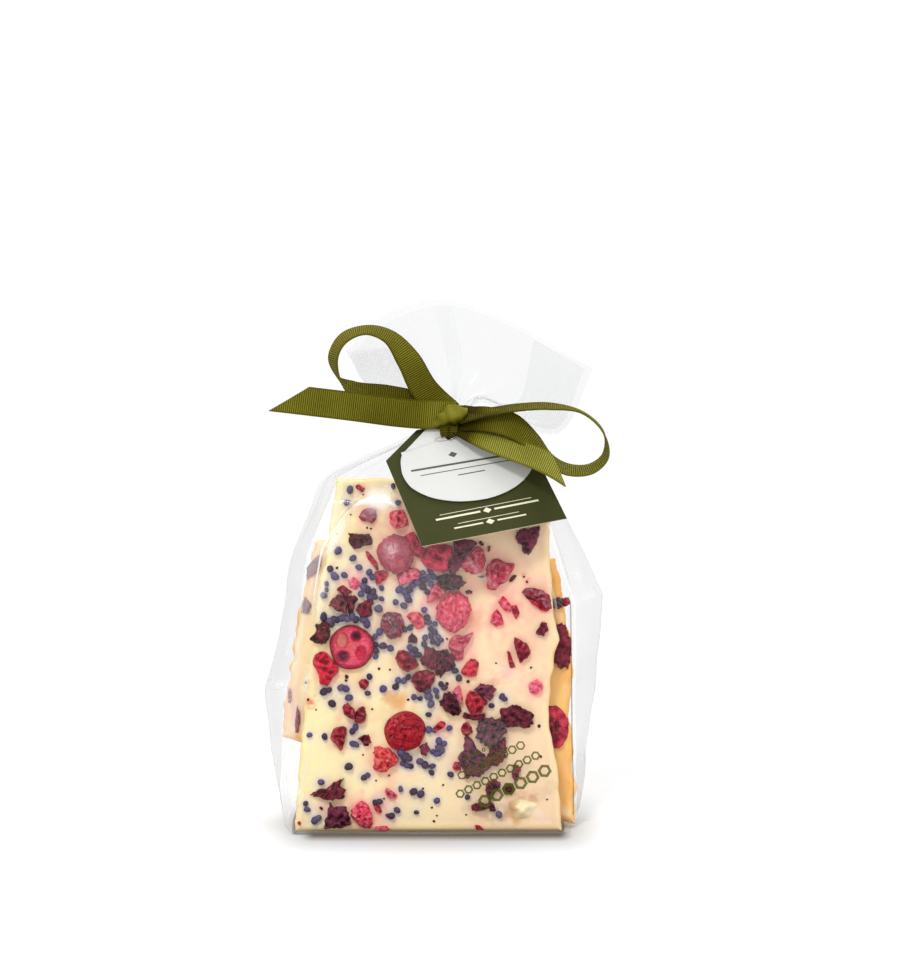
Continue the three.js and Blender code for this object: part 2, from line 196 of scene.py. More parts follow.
def sheetSolid(surface, thickness):
    # a grid (rows, columns, 3) moved half the thickness out along its normals to each side, its edges closed
    rows, columns = surface.shape[:2]
    normal = unit(np.cross(np.gradient(surface, axis=0), np.gradient(surface, axis=1)))
    half = np.asarray(thickness)[..., None] * normal / 2
    number = np.arange(rows * columns).reshape(rows, columns)
    back = number + rows * columns
    rim = np.concatenate([number[0, :-1], number[:-1, -1], number[-1, :0:-1], number[:0:-1, 0]])
    nextRim = np.roll(rim, -1)
    sides = np.stack([nextRim, rim, rim + rows * columns, nextRim + rows * columns], -1)
    quads = np.concatenate([gridFaces(number), gridFaces(back)[:, ::-1], sides])
    return np.concatenate([(surface + half).reshape(-1, 3), (surface - half).reshape(-1, 3)]), quads


def closedRings(rings, first, last):
    # rings (rows, around, 3) joined one to the next, with a point that closes each end
    rows, around = rings.shape[:2]
    number = np.arange(rows * around).reshape(rows, around)
    ends = [rows * around, rows * around + 1]
    fans = [np.stack([np.full(around, end), np.roll(ring, -1), ring], -1)
            for end, ring in zip(ends, (number[0], number[-1][::-1]))]
    points = np.concatenate([rings.reshape(-1, 3), [first, last]])
    return points, gridFaces(number, True), np.concatenate(fans)


# node helpers
def addNode(tree, kind, inputs=None, **settings):
    # a node with its settings, whose inputs are given as links or as values
    made = tree.nodes.new(kind)
    for key, value in settings.items():
        setattr(made, key, value)
    for key, value in (inputs or {}).items():
        if isinstance(value, bpy.types.NodeSocket):
            tree.links.new(value, made.inputs[key])
        else:
            made.inputs[key].default_value = value
    return made


def mathNode(tree, operation, a, b=0.0, c=0.0, clamp=False):
    made = addNode(tree, "ShaderNodeMath", {0: a, 1: b, 2: c}, operation=operation, use_clamp=clamp)
    return made.outputs[0]


def mixColour(tree, share, a, b, blend="MIX"):
    mixed = addNode(tree, "ShaderNodeMix", {0: share, 6: a, 7: b}, data_type="RGBA", blend_type=blend)
    return mixed.outputs[2]


def mixShader(tree, share, a, b):
    return addNode(tree, "ShaderNodeMixShader", {0: share, 1: a.outputs[0], 2: b.outputs[0]})


def mapRange(tree, value, low, high, to0, to1):
    return addNode(tree, "ShaderNodeMapRange", {0: value, 1: low, 2: high, 3: to0, 4: to1}).outputs[0]


def attribute(tree, name):
    return addNode(tree, "ShaderNodeAttribute", attribute_name=name).outputs


def separate(tree, vector):
    return addNode(tree, "ShaderNodeSeparateXYZ", {0: vector}).outputs


def newGroup(name, inputs, outputs):
    # a shader node group with named sockets; returns it with its input and output nodes
    group = bpy.data.node_groups.new(name, "ShaderNodeTree")
    for label, value in inputs.items():
        made = group.interface.new_socket(label, in_out="INPUT", socket_type="NodeSocketFloat")
        made.default_value = value
    for label in outputs:
        group.interface.new_socket(label, in_out="OUTPUT", socket_type="NodeSocketFloat")
    return group, group.nodes.new("NodeGroupInput").outputs, group.nodes.new("NodeGroupOutput").inputs


def makeMottle():
    # blotches and grain on Object coordinates: a wide and a fine noise, as a tone of 0 to 1 and a height
    group, given, out = newGroup(
        "mottle",
        {"Blotch Scale": 60.0, "Grain Scale": 900.0, "Grain Share": 0.4, "Contrast": 1.0},
        ("Tone", "Height"),
    )
    place = addNode(group, "ShaderNodeTexCoord").outputs["Object"]
    blotch, grain = (
        addNode(group, "ShaderNodeTexNoise", {"Vector": place, "Scale": given[name], "Detail": detail})
        for name, detail in (("Blotch Scale", 3.0), ("Grain Scale", 4.0))
    )
    shares = {0: given["Grain Share"], 2: blotch.outputs[0], 3: grain.outputs[0]}
    blend = addNode(group, "ShaderNodeMix", shares)
    centred = mathNode(group, "SUBTRACT", blend.outputs[0], 0.5)
    tone = mathNode(group, "ADD", mathNode(group, "MULTIPLY", centred, given["Contrast"]), 0.5, clamp=True)
    group.links.new(tone, out["Tone"])
    group.links.new(grain.outputs[0], out["Height"])
    return group


mottle = makeMottle()


def newMaterial(name, **constants):
    # a Principled material with its constants on the shader's own sockets
    made = bpy.data.materials.new(name)
    made.use_nodes = True
    tree = made.node_tree
    shader = tree.nodes["Principled BSDF"]
    for label, value in constants.items():
        shader.inputs[label.replace("_", " ")].default_value = value
    return made, tree, shader


def addMottle(tree, blotch, grain, share, contrast):
    values = {"Blotch Scale": blotch, "Grain Scale": grain, "Grain Share": share, "Contrast": contrast}
    return addNode(tree, "ShaderNodeGroup", values, node_tree=mottle).outputs


def addBump(tree, shader, height, strength, distance):
    bump = addNode(tree, "ShaderNodeBump", {"Strength": strength, "Distance": distance, "Height": height})
    tree.links.new(bump.outputs[0], shader.inputs["Normal"])


print("mesh and node helpers ready")


# studio
studio = {
    "worldLight": 0.72, "worldGloss": 0.6,
    # the floor: its albedo near the bag, its glow further out and in reflections, and where it changes
    "floorAlbedo": 0.74, "floorGlow": 1.01, "floorGloss": 0.3, "nearFloor": 110, "farFloor": 300,
    "floorHalf": 60000, "floorTop": -0.08,
    # the painted contact shadow on the floor: the foot's rectangle, then each painted shadow's start, end,
    # colour, share and power
    "footX": (-40, 42), "footY": 21.5, "aside": 2.2,
    "paintedContactShadows": [(0, 45, (0.24, 0.24, 0.225, 1), 0.55, 1.6), (1, 11, (0.17, 0.13, 0.1, 1), 0.95, 1.3)],
    "lights": {
        "key": {"at": (-480, -1350, 1650), "size": (330, 330), "power": 18.0},
        "fill": {"at": (1300, -900, 900), "size": (900, 1200), "power": 4.0},
        "top": {"at": (100, 200, 1900), "size": (1200, 1200), "power": 24.0},
    },
    "aim": (0, 0, 80),
}
white = (1, 1, 1, 1)


def addLight(name, place):
    data = bpy.data.lights.new(name, "AREA")
    data.shape = "RECTANGLE"
    data.size, data.size_y = (side / 1000 for side in place["size"])
    data.energy = place["power"]
    made = bpy.data.objects.new(name, data)
    made.location = Vector(place["at"]) / 1000
    made.rotation_euler = (Vector(place["at"]) - Vector(studio["aim"])).to_track_quat("Z", "Y").to_euler()
    scene.collection.objects.link(made)


def makeWorld():
    # white to the camera, and lower as a light and in reflections
    world = bpy.data.worlds.new("studio")
    world.use_nodes = True
    scene.world = world
    tree = world.node_tree
    tree.nodes.clear()
    ray = addNode(tree, "ShaderNodeLightPath").outputs
    lit = addNode(tree, "ShaderNodeBackground", {0: (0.98, 0.99, 1, 1), 1: studio["worldLight"]})
    shine = addNode(tree, "ShaderNodeBackground", {0: white, 1: studio["worldGloss"]})
    seen = addNode(tree, "ShaderNodeBackground", {0: white, 1: 1.0})
    mixed = mixShader(tree, ray["Is Glossy Ray"], lit, shine)
    mixed = mixShader(tree, ray["Is Camera Ray"], mixed, seen)
    out = addNode(tree, "ShaderNodeOutputWorld")
    tree.links.new(mixed.outputs[0], out.inputs[0])


def footGap(tree, place):
    # the distance on the floor from the rectangle of the foot, counted more to the sides
    parts = separate(tree, place)
    left, right = (side / 1000 for side in studio["footX"])
    fromMiddle = mathNode(tree, "ABSOLUTE", mathNode(tree, "SUBTRACT", parts[0], (left + right) / 2))
    gapX = mathNode(tree, "SUBTRACT", fromMiddle, (right - left) / 2)
    gapY = mathNode(tree, "SUBTRACT", mathNode(tree, "ABSOLUTE", parts[1]), studio["footY"] / 1000)
    gapX = mathNode(tree, "MULTIPLY", mathNode(tree, "MAXIMUM", gapX, 0.0), studio["aside"])
    gaps = addNode(tree, "ShaderNodeCombineXYZ", {0: gapX, 1: mathNode(tree, "MAXIMUM", gapY, 0.0)})
    return addNode(tree, "ShaderNodeVectorMath", {0: gaps.outputs[0]}, operation="LENGTH").outputs["Value"]


def makeFloorMaterial():
    # it takes shadows near the bag and a painted contact shadow round the foot; further out it glows evenly
    # at the level of paper white
    made, tree, shader = newMaterial("floor", Base_Color=(studio["floorAlbedo"],) * 3 + (1,), Roughness=0.9,
                                     Specular_IOR_Level=0.0)
    place = addNode(tree, "ShaderNodeTexCoord").outputs["Object"]
    away = addNode(tree, "ShaderNodeVectorMath", {0: place}, operation="LENGTH").outputs["Value"]
    far = mapRange(tree, away, studio["nearFloor"] / 1000, studio["farFloor"] / 1000, 0.0, 1.0)
    glow = addNode(tree, "ShaderNodeEmission", {0: white, 1: studio["floorGlow"]})
    mixed = mixShader(tree, far, shader, glow)
    gap = footGap(tree, place)
    # painted contact shadow: dark emission mixed in by the distance from the foot
    for start, end, colour, amount, power in studio["paintedContactShadows"]:
        near = mathNode(tree, "POWER", mapRange(tree, gap, start / 1000, end / 1000, 1.0, 0.0), power)
        shade = addNode(tree, "ShaderNodeEmission", {0: colour, 1: 1.0})
        mixed = mixShader(tree, mathNode(tree, "MULTIPLY", near, amount), mixed, shade)
    dim = addNode(tree, "ShaderNodeEmission", {0: white, 1: studio["floorGloss"]})
    ray = addNode(tree, "ShaderNodeLightPath").outputs
    mixed = mixShader(tree, ray["Is Glossy Ray"], mixed, dim)
    tree.links.new(mixed.outputs[0], tree.nodes["Material Output"].inputs[0])
    return made


def makeStudio():
    # the world, three soft boxes, and a floor out to the horizon just under the bag
    makeWorld()
    for name, place in studio["lights"].items():
        addLight(name, place)
    half, top = studio["floorHalf"], studio["floorTop"]
    points = np.array([[-half, -half, top], [half, -half, top], [half, half, top], [-half, half, top]])
    mesh = bpy.data.meshes.new("floor")
    mesh.from_pydata((points / 1000).tolist(), [], [(0, 1, 2, 3)])
    mesh.materials.append(makeFloorMaterial())
    floor = bpy.data.objects.new("floor", mesh)
    scene.collection.objects.link(floor)
    scene.view_settings.view_transform = "Standard"
    scene.cycles.transparent_max_bounces = 48
    scene.cycles.max_bounces = 10
    scene.cycles.use_denoising = True


makeStudio()
print("studio lit")


# the film bag
# a track is [height, value]: how far the sides reach out, where they fold, and how deep the bag is
film = {
    "leftReach": [[0, 50], [15, 54.2], [46, 57.4], [64, 52.8], [95, 47.3], [112, 39.2], [117, 36.6],
                  [120, 31.5], [126, 20.5], [136, -0.8]],
    "rightReach": [[0, 48.8], [22, 52.2], [79, 58], [104, 45], [127, 29], [136, 13.2]],
    "leftFold": [[0, 0.5], [50, 8], [112, 4.5], [136, 0.5]],
    "rightFold": [[0, 0.5], [28, 5], [79, 11], [112, 4.5], [136, 0.5]],
    "frontDepth": [[0, 21.5], [5, 22.5], [55, 23], [90, 20.5], [112, 16], [122, 10], [130, 6], [136, 4.6]],
    "backDepth": [[0, 21.5], [5, 22.5], [55, 23.5], [90, 21], [110, 16], [122, 10], [130, 6], [136, 4.6]],
    "bulge": 1.6, "smoothing": 1.5, "footRound": 2.5, "leftFootRound": 4, "rightFootRound": 7,
    "cornerRound": 0.005,
    "neckX": 7, "neckBottom": 136, "neckTop": 143.5, "neckHalf": [6.2, 4.6], "gatherFrom": 112,
    "collarHalf": [9.4, 5], "collarHeight": 145.5, "pleats": 12, "pleatDepth": 0.5, "pleatFade": 26,
    # shares round the bag, from the front's left edge by the right side and the back
    "cornerShares": [0, 1 / 6, 1 / 3, 5 / 12, 1 / 2, 2 / 3, 5 / 6, 11 / 12],
    "columns": [120, 26, 26, 92, 26, 26], "bodyRows": 150, "flareRows": 56, "flareHeight": 30,
    "footRows": [0.0, 0.35, 0.9], "firstRow": 1.6, "tieRows": [138.5, 141, 143.5],
    # pleats that the tie pulls, as waves round the bag and phases, and soft dents as size, seed and depth
    "gathers": ((9, 0.3), (14, 1.9), (19, 4.1), (26, 2.2), (33, 5.0)), "dents": ((46, 3, 0.5), (17, 4, 0.22)),
    "girth": 290, "edgeWidth": 0.55, "edgeHaze": 0.4, "edgeLift": 0.25,
    "flareHaze": 0.04, "sideHaze": 0.015, "leftVeil": 0.24,
    "leftLine": [[0, -46.6], [33, -44.8], [66, -42.2], [90, -37.2], [109, -30], [125, -22]],
    # painted reflection, as milky places on the front: x, z, half sizes and strength
    "reflectionVeils": [(-1, 94, 27, 15, 0.045), (2, 68, 19, 15, 0.045), (20, 28, 15, 11, 0.03)],
}
# the flare's belly and its mouth, as points along their front and back edges and the two tucked folds
belly = {
    "front": [[-21.5, -1.5, 149], [-10, -2.6, 155.5], [7, -4, 160], [25, -2.8, 152], [41.3, -1.5, 134]],
    "back": [[-21.5, 4.5, 148.5], [-10, 7, 154], [7, 8.5, 158], [25, 7, 150.5], [41, 4.5, 134.5]],
    "leftFold": [-8, 1.5, 151], "rightFold": [28, 1.5, 144],
}
mouth = {
    "front": [[-29.4, -1.5, 161.4], [-18.4, -2.4, 172.6], [2, -3.8, 179], [21, -2.8, 173.6],
              [53.6, -1, 155.8]],
    "back": [[-28.4, 5, 159.5], [-17, 7.5, 169.5], [3, 9.5, 176], [23, 7.5, 170.5], [51, 4.5, 155]],
    "leftFold": [-13.4, 1.5, 163], "rightFold": [33.8, 1.5, 165],
}


def reach(name, height):
    # the track's value at a height, averaged over a short run so that the film turns softly at each point
    taps = [onTrack(film[name], height + k * film["smoothing"]) for k in (-1, -0.5, 0, 0.5, 1)]
    return np.mean(taps, axis=0)


def footInset(radius, height):
    # how far a foot of this radius draws in: r (1 - sqrt(1 - (1 - h / r)^2))
    share = np.clip(np.asarray(height) / radius, 0, 1)
    return radius * (1 - np.sqrt(1 - (1 - share) ** 2))


def ovalPoint(share, centre, halfWidth, halfDepth, swell):
    # an oval round the neck whose angle follows the panels, with pleats swelling in and out
    angle = 2 * np.pi * (share - 1 / 6) - np.pi / 2
    out = swell * np.cos(2 * np.pi * film["pleats"] * share)
    return np.stack([centre + (halfWidth + out) * np.cos(angle), (halfDepth + out) * np.sin(angle)], -1)


def bodyPoint(share, height):
    # the block-bottom section, eight straight runs with round corners, turns into an oval at the neck
    left = reach("leftReach", height) - footInset(film["leftFootRound"], height)
    right = reach("rightReach", height) - footInset(film["rightFootRound"], height)
    foot = footInset(film["footRound"], height)
    front, back = foot - reach("frontDepth", height), reach("backDepth", height) - foot
    leftCorner, rightCorner = reach("leftFold", height) - left, right - reach("rightFold", height)
    middle, none = (leftCorner + rightCorner) / 2, 0 * left
    bulge = film["bulge"]
    corners = np.stack([
        np.stack([leftCorner, middle, rightCorner, right, rightCorner, middle, leftCorner, -left]),
        np.stack([front, front - bulge, front, none, back, back + bulge, back, none]),
    ], -1)
    corners = np.concatenate([corners, corners[:1]])
    knots = np.array(film["cornerShares"] + [1.0])
    section = 0
    for tap in np.linspace(-1, 1, 5):
        turn = (share + tap * film["cornerRound"]) % 1
        first = np.clip(np.searchsorted(knots, turn, side="right") - 1, 0, 7)
        part = ((turn - knots[first]) / (knots[first + 1] - knots[first]))[:, None]
        row = np.arange(len(share))
        section = section + (corners[first, row] * (1 - part) + corners[first + 1, row] * part) / 5
    rightReach, leftReach = reach("rightReach", height), reach("leftReach", height)
    wide, centre = (rightReach + leftReach) / 2, (rightReach - leftReach) / 2
    fade = film["pleatFade"]
    swell = film["pleatDepth"] * smoothStep((height - film["neckBottom"] + fade) / fade)
    oval = ovalPoint(share, centre, wide, reach("frontDepth", height), swell)
    gathered = smoothStep((height - film["gatherFrom"]) / (film["neckBottom"] - film["gatherFrom"]))[:, None]
    return np.concatenate([section * (1 - gathered) + oval * gathered, height[:, None]], axis=1)


def edgeLine(section, share):
    # a closed line round the flare: curved front and back edges, joined by side folds that are tucked in
    front = curvePoint(section["front"], share * 3)
    back = curvePoint(section["back"], (5 / 6 - share) * 3)
    ends = [section["front"][-1], section["rightFold"], section["back"][-1]]
    others = [section["back"][0], section["leftFold"], section["front"][0]]
    right = np.stack([np.interp(share, [1 / 3, 5 / 12, 1 / 2], [p[k] for p in ends]) for k in range(3)], -1)
    left = np.stack([np.interp(share, [5 / 6, 11 / 12, 1], [p[k] for p in others]) for k in range(3)], -1)
    pick = np.digitize(share, [1 / 3, 1 / 2, 5 / 6])
    return np.stack([front, right, back, left])[pick, np.arange(len(share))]


def flarePoint(share, rise):
    # from the neck through the collar and the belly line to the mouth, one curve for each share round
    swell = film["pleatDepth"]
    start = ovalPoint(share, film["neckX"], *film["neckHalf"], swell)
    collar = ovalPoint(share, film["neckX"], *film["collarHalf"], swell)
    level = np.ones((len(share), 1))
    lines = np.stack([np.concatenate([start, level * film["neckTop"]], 1),
                      np.concatenate([collar, level * film["collarHeight"]], 1),
                      edgeLine(belly, share), edgeLine(mouth, share)])
    return curvePoint(lines, rise)


def filmShares():
    # columns round the bag, closer together at the panels' corners
    edges = [0, 1 / 3, 5 / 12, 1 / 2, 5 / 6, 11 / 12, 1]
    runs = []
    for start, end, count in zip(edges[:-1], edges[1:], film["columns"]):
        even = np.arange(count) / count
        runs.append(start + (end - start) * (0.55 * even + 0.45 * (1 - np.cos(np.pi * even)) / 2))
    return np.concatenate(runs)


# the tags lean on the front film: a place on a card is its corner, so far across and so far up, and bent
lean = {"corner": [-3.7, -30, 99.1], "across": [0.911, 0, 0.174], "up": [-0.377, 0.4, 0.726],
        "bend": 16, "bendWidth": 53, "bendFade": 80, "bendDrop": 0.123, "shear": 1.7, "shearRise": 36.5}


def leanBend(across, up):
    # how far the card's far end bends back round the shoulder: b (a / w)^2 (1 - u / f)
    return lean["bend"] * (across / lean["bendWidth"]) ** 2 * (1 - up / lean["bendFade"])


def tagPoint(across, up, inFront):
    # a point of a tag's flat outline where it leans on the shoulder and bends round it
    across, up, inFront = np.broadcast_arrays(np.asarray(across, float), up, inFront)
    bent = leanBend(across, up)
    aside = lean["shear"] * up / lean["shearRise"] * (1 - across / lean["bendWidth"])
    flat = np.array(lean["corner"]) + across[..., None] * lean["across"] + up[..., None] * lean["up"]
    return flat + np.stack([aside, bent - inFront, -bent * lean["bendDrop"]], -1)


def behindTag(points, gap=0.9):
    # the least depth that keeps a point of the film behind the card in front of it
    x, z = points[..., 0] - lean["corner"][0], points[..., 2] - lean["corner"][2]
    turn = np.array([[lean["across"][0], lean["up"][0]], [lean["across"][2], lean["up"][2]]])
    across, up = np.moveaxis(np.linalg.solve(turn, np.stack([x, z], -1)[..., None])[..., 0], -1, 0)
    bent = leanBend(across, up)
    up = up + bent * lean["bendDrop"] / lean["up"][2]
    depth = lean["corner"][1] + up * lean["up"][1] + bent + gap
    near = (across > -2) & (across < 55) & (up > -2) & (up < 50) & (points[..., 1] < 0)
    return np.where(near, depth, -99)


# folds of the film as places (x, z) seen from the front, how far they stand out, their width and their haze,
# which is partly painted highlight
folds = {
    "front": [
        [(-28, 109), (-37.5, 92), 0.9, 2.2, 0.55], [(-24, 112), (-12, 113.5), 1.2, 4.5, 0.75],
        [(-12, 113.5), (2, 109), 0.8, 3.0, 0.3], [(-36, 92), (-40, 70), 0.5, 1.8, 0.3],
        [(18, 60), (34, 50), 0.35, 3.0, 0.12], [(-41, 60), (-44, 44), 0.5, 1.6, 0.3],
        [(30, 12), (40, 4), 0.4, 2.0, 0.2], [(-46, 18), (-47, 12), 0.6, 2.4, 0.5],
    ],
    "side": [
        [(-46, 52), (-57, 47), 0.6, 1.6, 0.5], [(-45, 70), (-50, 58), 0.8, 2.0, 0.4],
        [(47, 79), (57, 79), 0.6, 1.6, 0.35], [(46, 90), (50, 84), 0.5, 1.5, 0.3],
        [(47, 30), (52, 20), 0.5, 1.6, 0.3],
    ],
}


def foldProfile(at, start, end, width):
    # a ridge along a line: exp(-(d / w)^2) across, easing off at both ends
    a, b = np.array(start, float), np.array(end, float)
    run = b - a
    along = np.clip((at - a) @ run / (run @ run), 0, 1)
    away = np.linalg.norm(at - a - along[..., None] * run, axis=-1)
    return np.exp(-((away / width) ** 2)) * np.sin(np.pi * (0.08 + 0.84 * along))


def plainFilm():
    # the section's rows from the floor to the tie and the flare's above them, with each row's level
    share = filmShares()
    low, tie = film["firstRow"], film["neckBottom"]
    step = np.linspace(0, 1, film["bodyRows"])
    heights = np.concatenate([film["footRows"], low + (tie - low) * step, film["tieRows"]])
    body = bodyPoint(np.tile(share, len(heights)), np.repeat(heights, len(share)))
    body = body.reshape(len(heights), len(share), 3)
    body[heights >= tie, :, :2] = ovalPoint(share, film["neckX"], *film["neckHalf"], film["pleatDepth"])
    rise = (np.arange(film["flareRows"]) + 1) / film["flareRows"]
    level = np.concatenate([heights, film["neckTop"] + film["flareHeight"] * rise])[:, None]
    up = np.concatenate([0 * heights, rise])[:, None]
    return share, np.concatenate([body, flarePoint(share, rise)]), level, up


def filmRelief(share, plain, level, up, side):
    # how far the film stands out, by gathers, dents, folds and panel edges, and how hazy that leaves it
    turn = 2 * np.pi * share[None, :]
    gather = sum(np.cos(k * turn + phase) / 3 for k, phase in film["gathers"])
    pull = smoothStep((level - 92) / 40) * smoothStep((140 - level) / 8)
    above = level - film["neckTop"]
    spread = np.where(above > 0, smoothStep(above / 6) * (1 - 0.65 * up), 0)
    move = gather * (0.75 * pull + 0.85 * spread)
    quiet = smoothStep(level / 10) * smoothStep((134 - level) / 20)
    dents = sum(wander(plain, size, seed) * depth for size, seed, depth in film["dents"])
    move = move + quiet * dents * np.where(side, 1.2, 0.7)
    front = (plain[..., 1] < 0) & ~side[None, :]
    flank = side[None, :] & (plain[..., 1] < 6)
    haze = np.zeros(plain.shape[:2])
    for rows, mask in (("front", front), ("side", flank)):
        for start, end, out, width, crease in folds[rows]:
            ridge = foldProfile(plain[..., [0, 2]], start, end, width) * mask
            move = move + out * ridge
            haze = np.maximum(haze, crease * ridge**2)
    crisp = smoothStep(level / 6) * smoothStep((126 - level) / 14)
    for corner in (0, 1 / 3, 1 / 2, 5 / 6, 1, 5 / 12, 11 / 12):
        line = np.exp(-(((share - corner) * film["girth"] / film["edgeWidth"]) ** 2))[None, :]
        haze = np.maximum(haze, film["edgeHaze"] * line * crisp)
        move = move + film["edgeLift"] * line * crisp
    return move, haze


def filmVeil(surface, share, side):
    # the milky strip left of the slabs, the soft veils of painted reflection on the front, and the sides'
    # slight haze
    x, z = surface[..., 0], surface[..., 2]
    veil = film["leftVeil"] * smoothStep((onTrack(film["leftLine"], z) - x) / 3) * smoothStep((118 - z) / 12)
    for middle, height, wide, tall, strength in film["reflectionVeils"]:
        veil = veil + strength * np.exp(-((((x - middle) / wide) ** 2 + ((z - height) / tall) ** 2) ** 1.4))
    return np.where(share[None] < 1 / 3, veil, 0) + film["sideHaze"] * side


def filmSurface():
    # the plain surface, moved along its outward normals by its relief and kept off the floor and the tags
    share, plain, level, up = plainFilm()
    side = ((share > 1 / 3) & (share < 1 / 2)) | (share > 5 / 6)
    closed = np.concatenate([plain[:, -1:], plain, plain[:, :1]], axis=1)
    along = np.gradient(closed, axis=1)[:, 1:-1]
    normal = unit(np.cross(along, np.gradient(plain, axis=0)))
    move, haze = filmRelief(share, plain, level, up, side)
    surface = plain + normal * move[..., None]
    surface[..., 2] = np.maximum(surface[..., 2], 0)
    surface[..., 1] = np.maximum(surface[..., 1], behindTag(surface))
    surface[0] = plain[0]
    veil = filmVeil(surface, share, side)
    haze = np.maximum(haze, film["flareHaze"] * (up > 0) + veil * (up == 0))
    return share, surface, normal, haze


def hazeMarks(haze):
    # the film's own haze, in places painted highlight and reflection, is the first value of its attribute
    # fold
    haze = np.asarray(haze, float).ravel()
    return {"fold": np.stack([haze, 0 * haze, 0 * haze], -1)}


def filmStrip(name, grid, haze, finish, closeAcross=False):
    # an open strip of film on a grid of points, evenly hazy
    points = grid.reshape(-1, 3)
    number = np.arange(len(points)).reshape(grid.shape[:2])
    made = makePiece(name, points, gridFaces(number, closeAcross), finish=finish, closed=False, crease=70,
                     marks=hazeMarks(np.full(len(points), haze)))


# the back panel's overlap: its middle and half widths are shares round the bag
seam = {"middle": 2 / 3, "half": 0.0066, "flareHalf": 0.0125, "lift": 0.22, "firstRow": 4, "haze": 0.12}
# the hem round the block bottom, as (height, how far out): a dark edge at the floor, which is painted contact
# shadow, and a pale one above it
hems = {"film_foot_shade": ((0.05, 0.05), (0.2, 0.14), (0.45, 0.18)),
        "film_hem": ((0.45, 0.18), (0.8, 0.24), (1.3, 0.12))}
hemHaze = 0.22


def makeFilm():
    share, surface, normal, haze = filmSurface()
    rows, columns = surface.shape[:2]
    number = np.arange(rows * columns).reshape(rows, columns)
    base = np.stack([np.full(columns, rows * columns), number[0], np.roll(number[0], -1)], -1)
    points = np.concatenate([surface.reshape(-1, 3), [[0, 0, 0]]])
    made = makePiece("film_bag", points, gridFaces(number, True), base[:, ::-1], filmMaterial, closed=False,
                     crease=70, marks=hazeMarks(np.append(haze.ravel(), 0)))
    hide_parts("bag")
    # the strip where the back panel overlaps itself, a little outside it
    half = np.where(np.arange(rows) < rows - film["flareRows"], seam["half"], seam["flareHalf"])
    at = seam["middle"] + half[:, None] * np.linspace(-1, 1, 7)
    ring = np.append(share, 1.0)
    lifted = surface + seam["lift"] * normal
    closed = np.concatenate([lifted, lifted[:, :1]], axis=1)
    strip = [np.stack([np.interp(at[row], ring, closed[row, :, k]) for k in range(3)], -1)
             for row in range(seam["firstRow"], rows)]
    filmStrip("film_back_seam", np.stack(strip), seam["haze"], filmMaterial)
    for name, levels in hems.items():
        rings = [bodyPoint(share, np.full(columns, height)) for height, _ in levels]
        moved = [ring + unit(ring * [1, 1, 0]) * out for ring, (_, out) in zip(rings, levels)]
        filmStrip(name, np.stack(moved), hemHaze, shadeEdgeMaterial if name == "film_foot_shade" else filmMaterial, True)
    return share, surface


def makeFilmMaterial():
    # thin clear film: see-through, slightly grey, with a haze that whitens at creases and holds painted
    # highlights and reflection, and a Fresnel gloss
    made = bpy.data.materials.new("clear_film")
    made.use_nodes = True
    tree = made.node_tree
    tree.nodes.clear()
    fold = separate(tree, attribute(tree, "fold")["Vector"])[0]
    blur = addMottle(tree, 45.0, 400.0, 0.25, 1.6)
    waves = addNode(tree, "ShaderNodeBump", {"Strength": 0.25, "Distance": 0.0006, "Height": blur["Tone"]})
    clear = addNode(tree, "ShaderNodeBsdfTransparent", {0: (0.968, 0.969, 0.971, 1)})
    haze = addNode(tree, "ShaderNodeBsdfPrincipled", {"Base Color": (0.94, 0.945, 0.95, 1), "Roughness": 0.4})
    facing = addNode(tree, "ShaderNodeLayerWeight", {"Blend": 0.5}).outputs["Facing"]
    milk = mathNode(tree, "MULTIPLY", mathNode(tree, "POWER", facing, 2.5), 0.08)
    patchy = mapRange(tree, blur["Tone"], 0.35, 0.9, 0.0, 0.02)
    hazy = mathNode(tree, "ADD", mathNode(tree, "ADD", patchy, milk), fold, clamp=True)
    body = mixShader(tree, hazy, clear, haze)
    shine = {"Color": white, "Roughness": 0.1, "Normal": waves.outputs[0]}
    gloss = addNode(tree, "ShaderNodeBsdfGlossy", shine)
    mirror = mathNode(tree, "MULTIPLY_ADD", mathNode(tree, "POWER", facing, 4.0), 0.2, 0.01)
    shiny = mixShader(tree, mirror, body, gloss)
    ray = addNode(tree, "ShaderNodeLightPath").outputs
    through = mathNode(tree, "MULTIPLY", ray["Is Shadow Ray"], 0.85)
    whole = mixShader(tree, through, shiny, clear)
    out = addNode(tree, "ShaderNodeOutputMaterial")
    tree.links.new(whole.outputs[0], out.inputs[0])
    return made


def makeEdgeMaterial():
    # painted shade for the film at its foot and at a fold seen edge-on: grey-brown and half clear
    made, tree, shader = newMaterial("film_shade_edge", Roughness=0.35, Alpha=0.75)
    blotches = addMottle(tree, 90.0, 900.0, 0.4, 1.2)
    shade = mixColour(tree, blotches["Tone"], linearColour(58, 48, 40), linearColour(112, 98, 86))
    tree.links.new(shade, shader.inputs["Base Color"])
    addBump(tree, shader, blotches["Height"], 0.2, 0.0002)
    return made


filmMaterial = makeFilmMaterial()
shadeEdgeMaterial = makeEdgeMaterial()
filmShare, filmGrid = makeFilm()


def onFront(x, z, lift):
    # the point of the front film at x and height z: the panel's shares run evenly from corner to corner
    corner = [bodyPoint(np.full(len(z), share), z)[:, 0] for share in (0.0, 1 / 3)]
    share = np.clip((x - corner[0]) / (corner[1] - corner[0]), 0.002, 0.998) / 3
    bodyRows = film["bodyRows"]
    rows = np.interp(z, filmGrid[:bodyRows, :, 2].mean(1), np.arange(bodyRows))
    columns = np.interp(share, filmShare, np.arange(len(filmShare)))
    low, first = np.floor(rows).astype(int), np.floor(columns).astype(int)
    part, side = rows - low, columns - first
    depth = filmGrid[..., 1]
    y = sum(weight * (depth[low + far, first] * (1 - side) + depth[low + far, first + 1] * side)
            for far, weight in ((0, 1 - part), (1, part)))
    return np.stack([x, y - lift, z], -1)
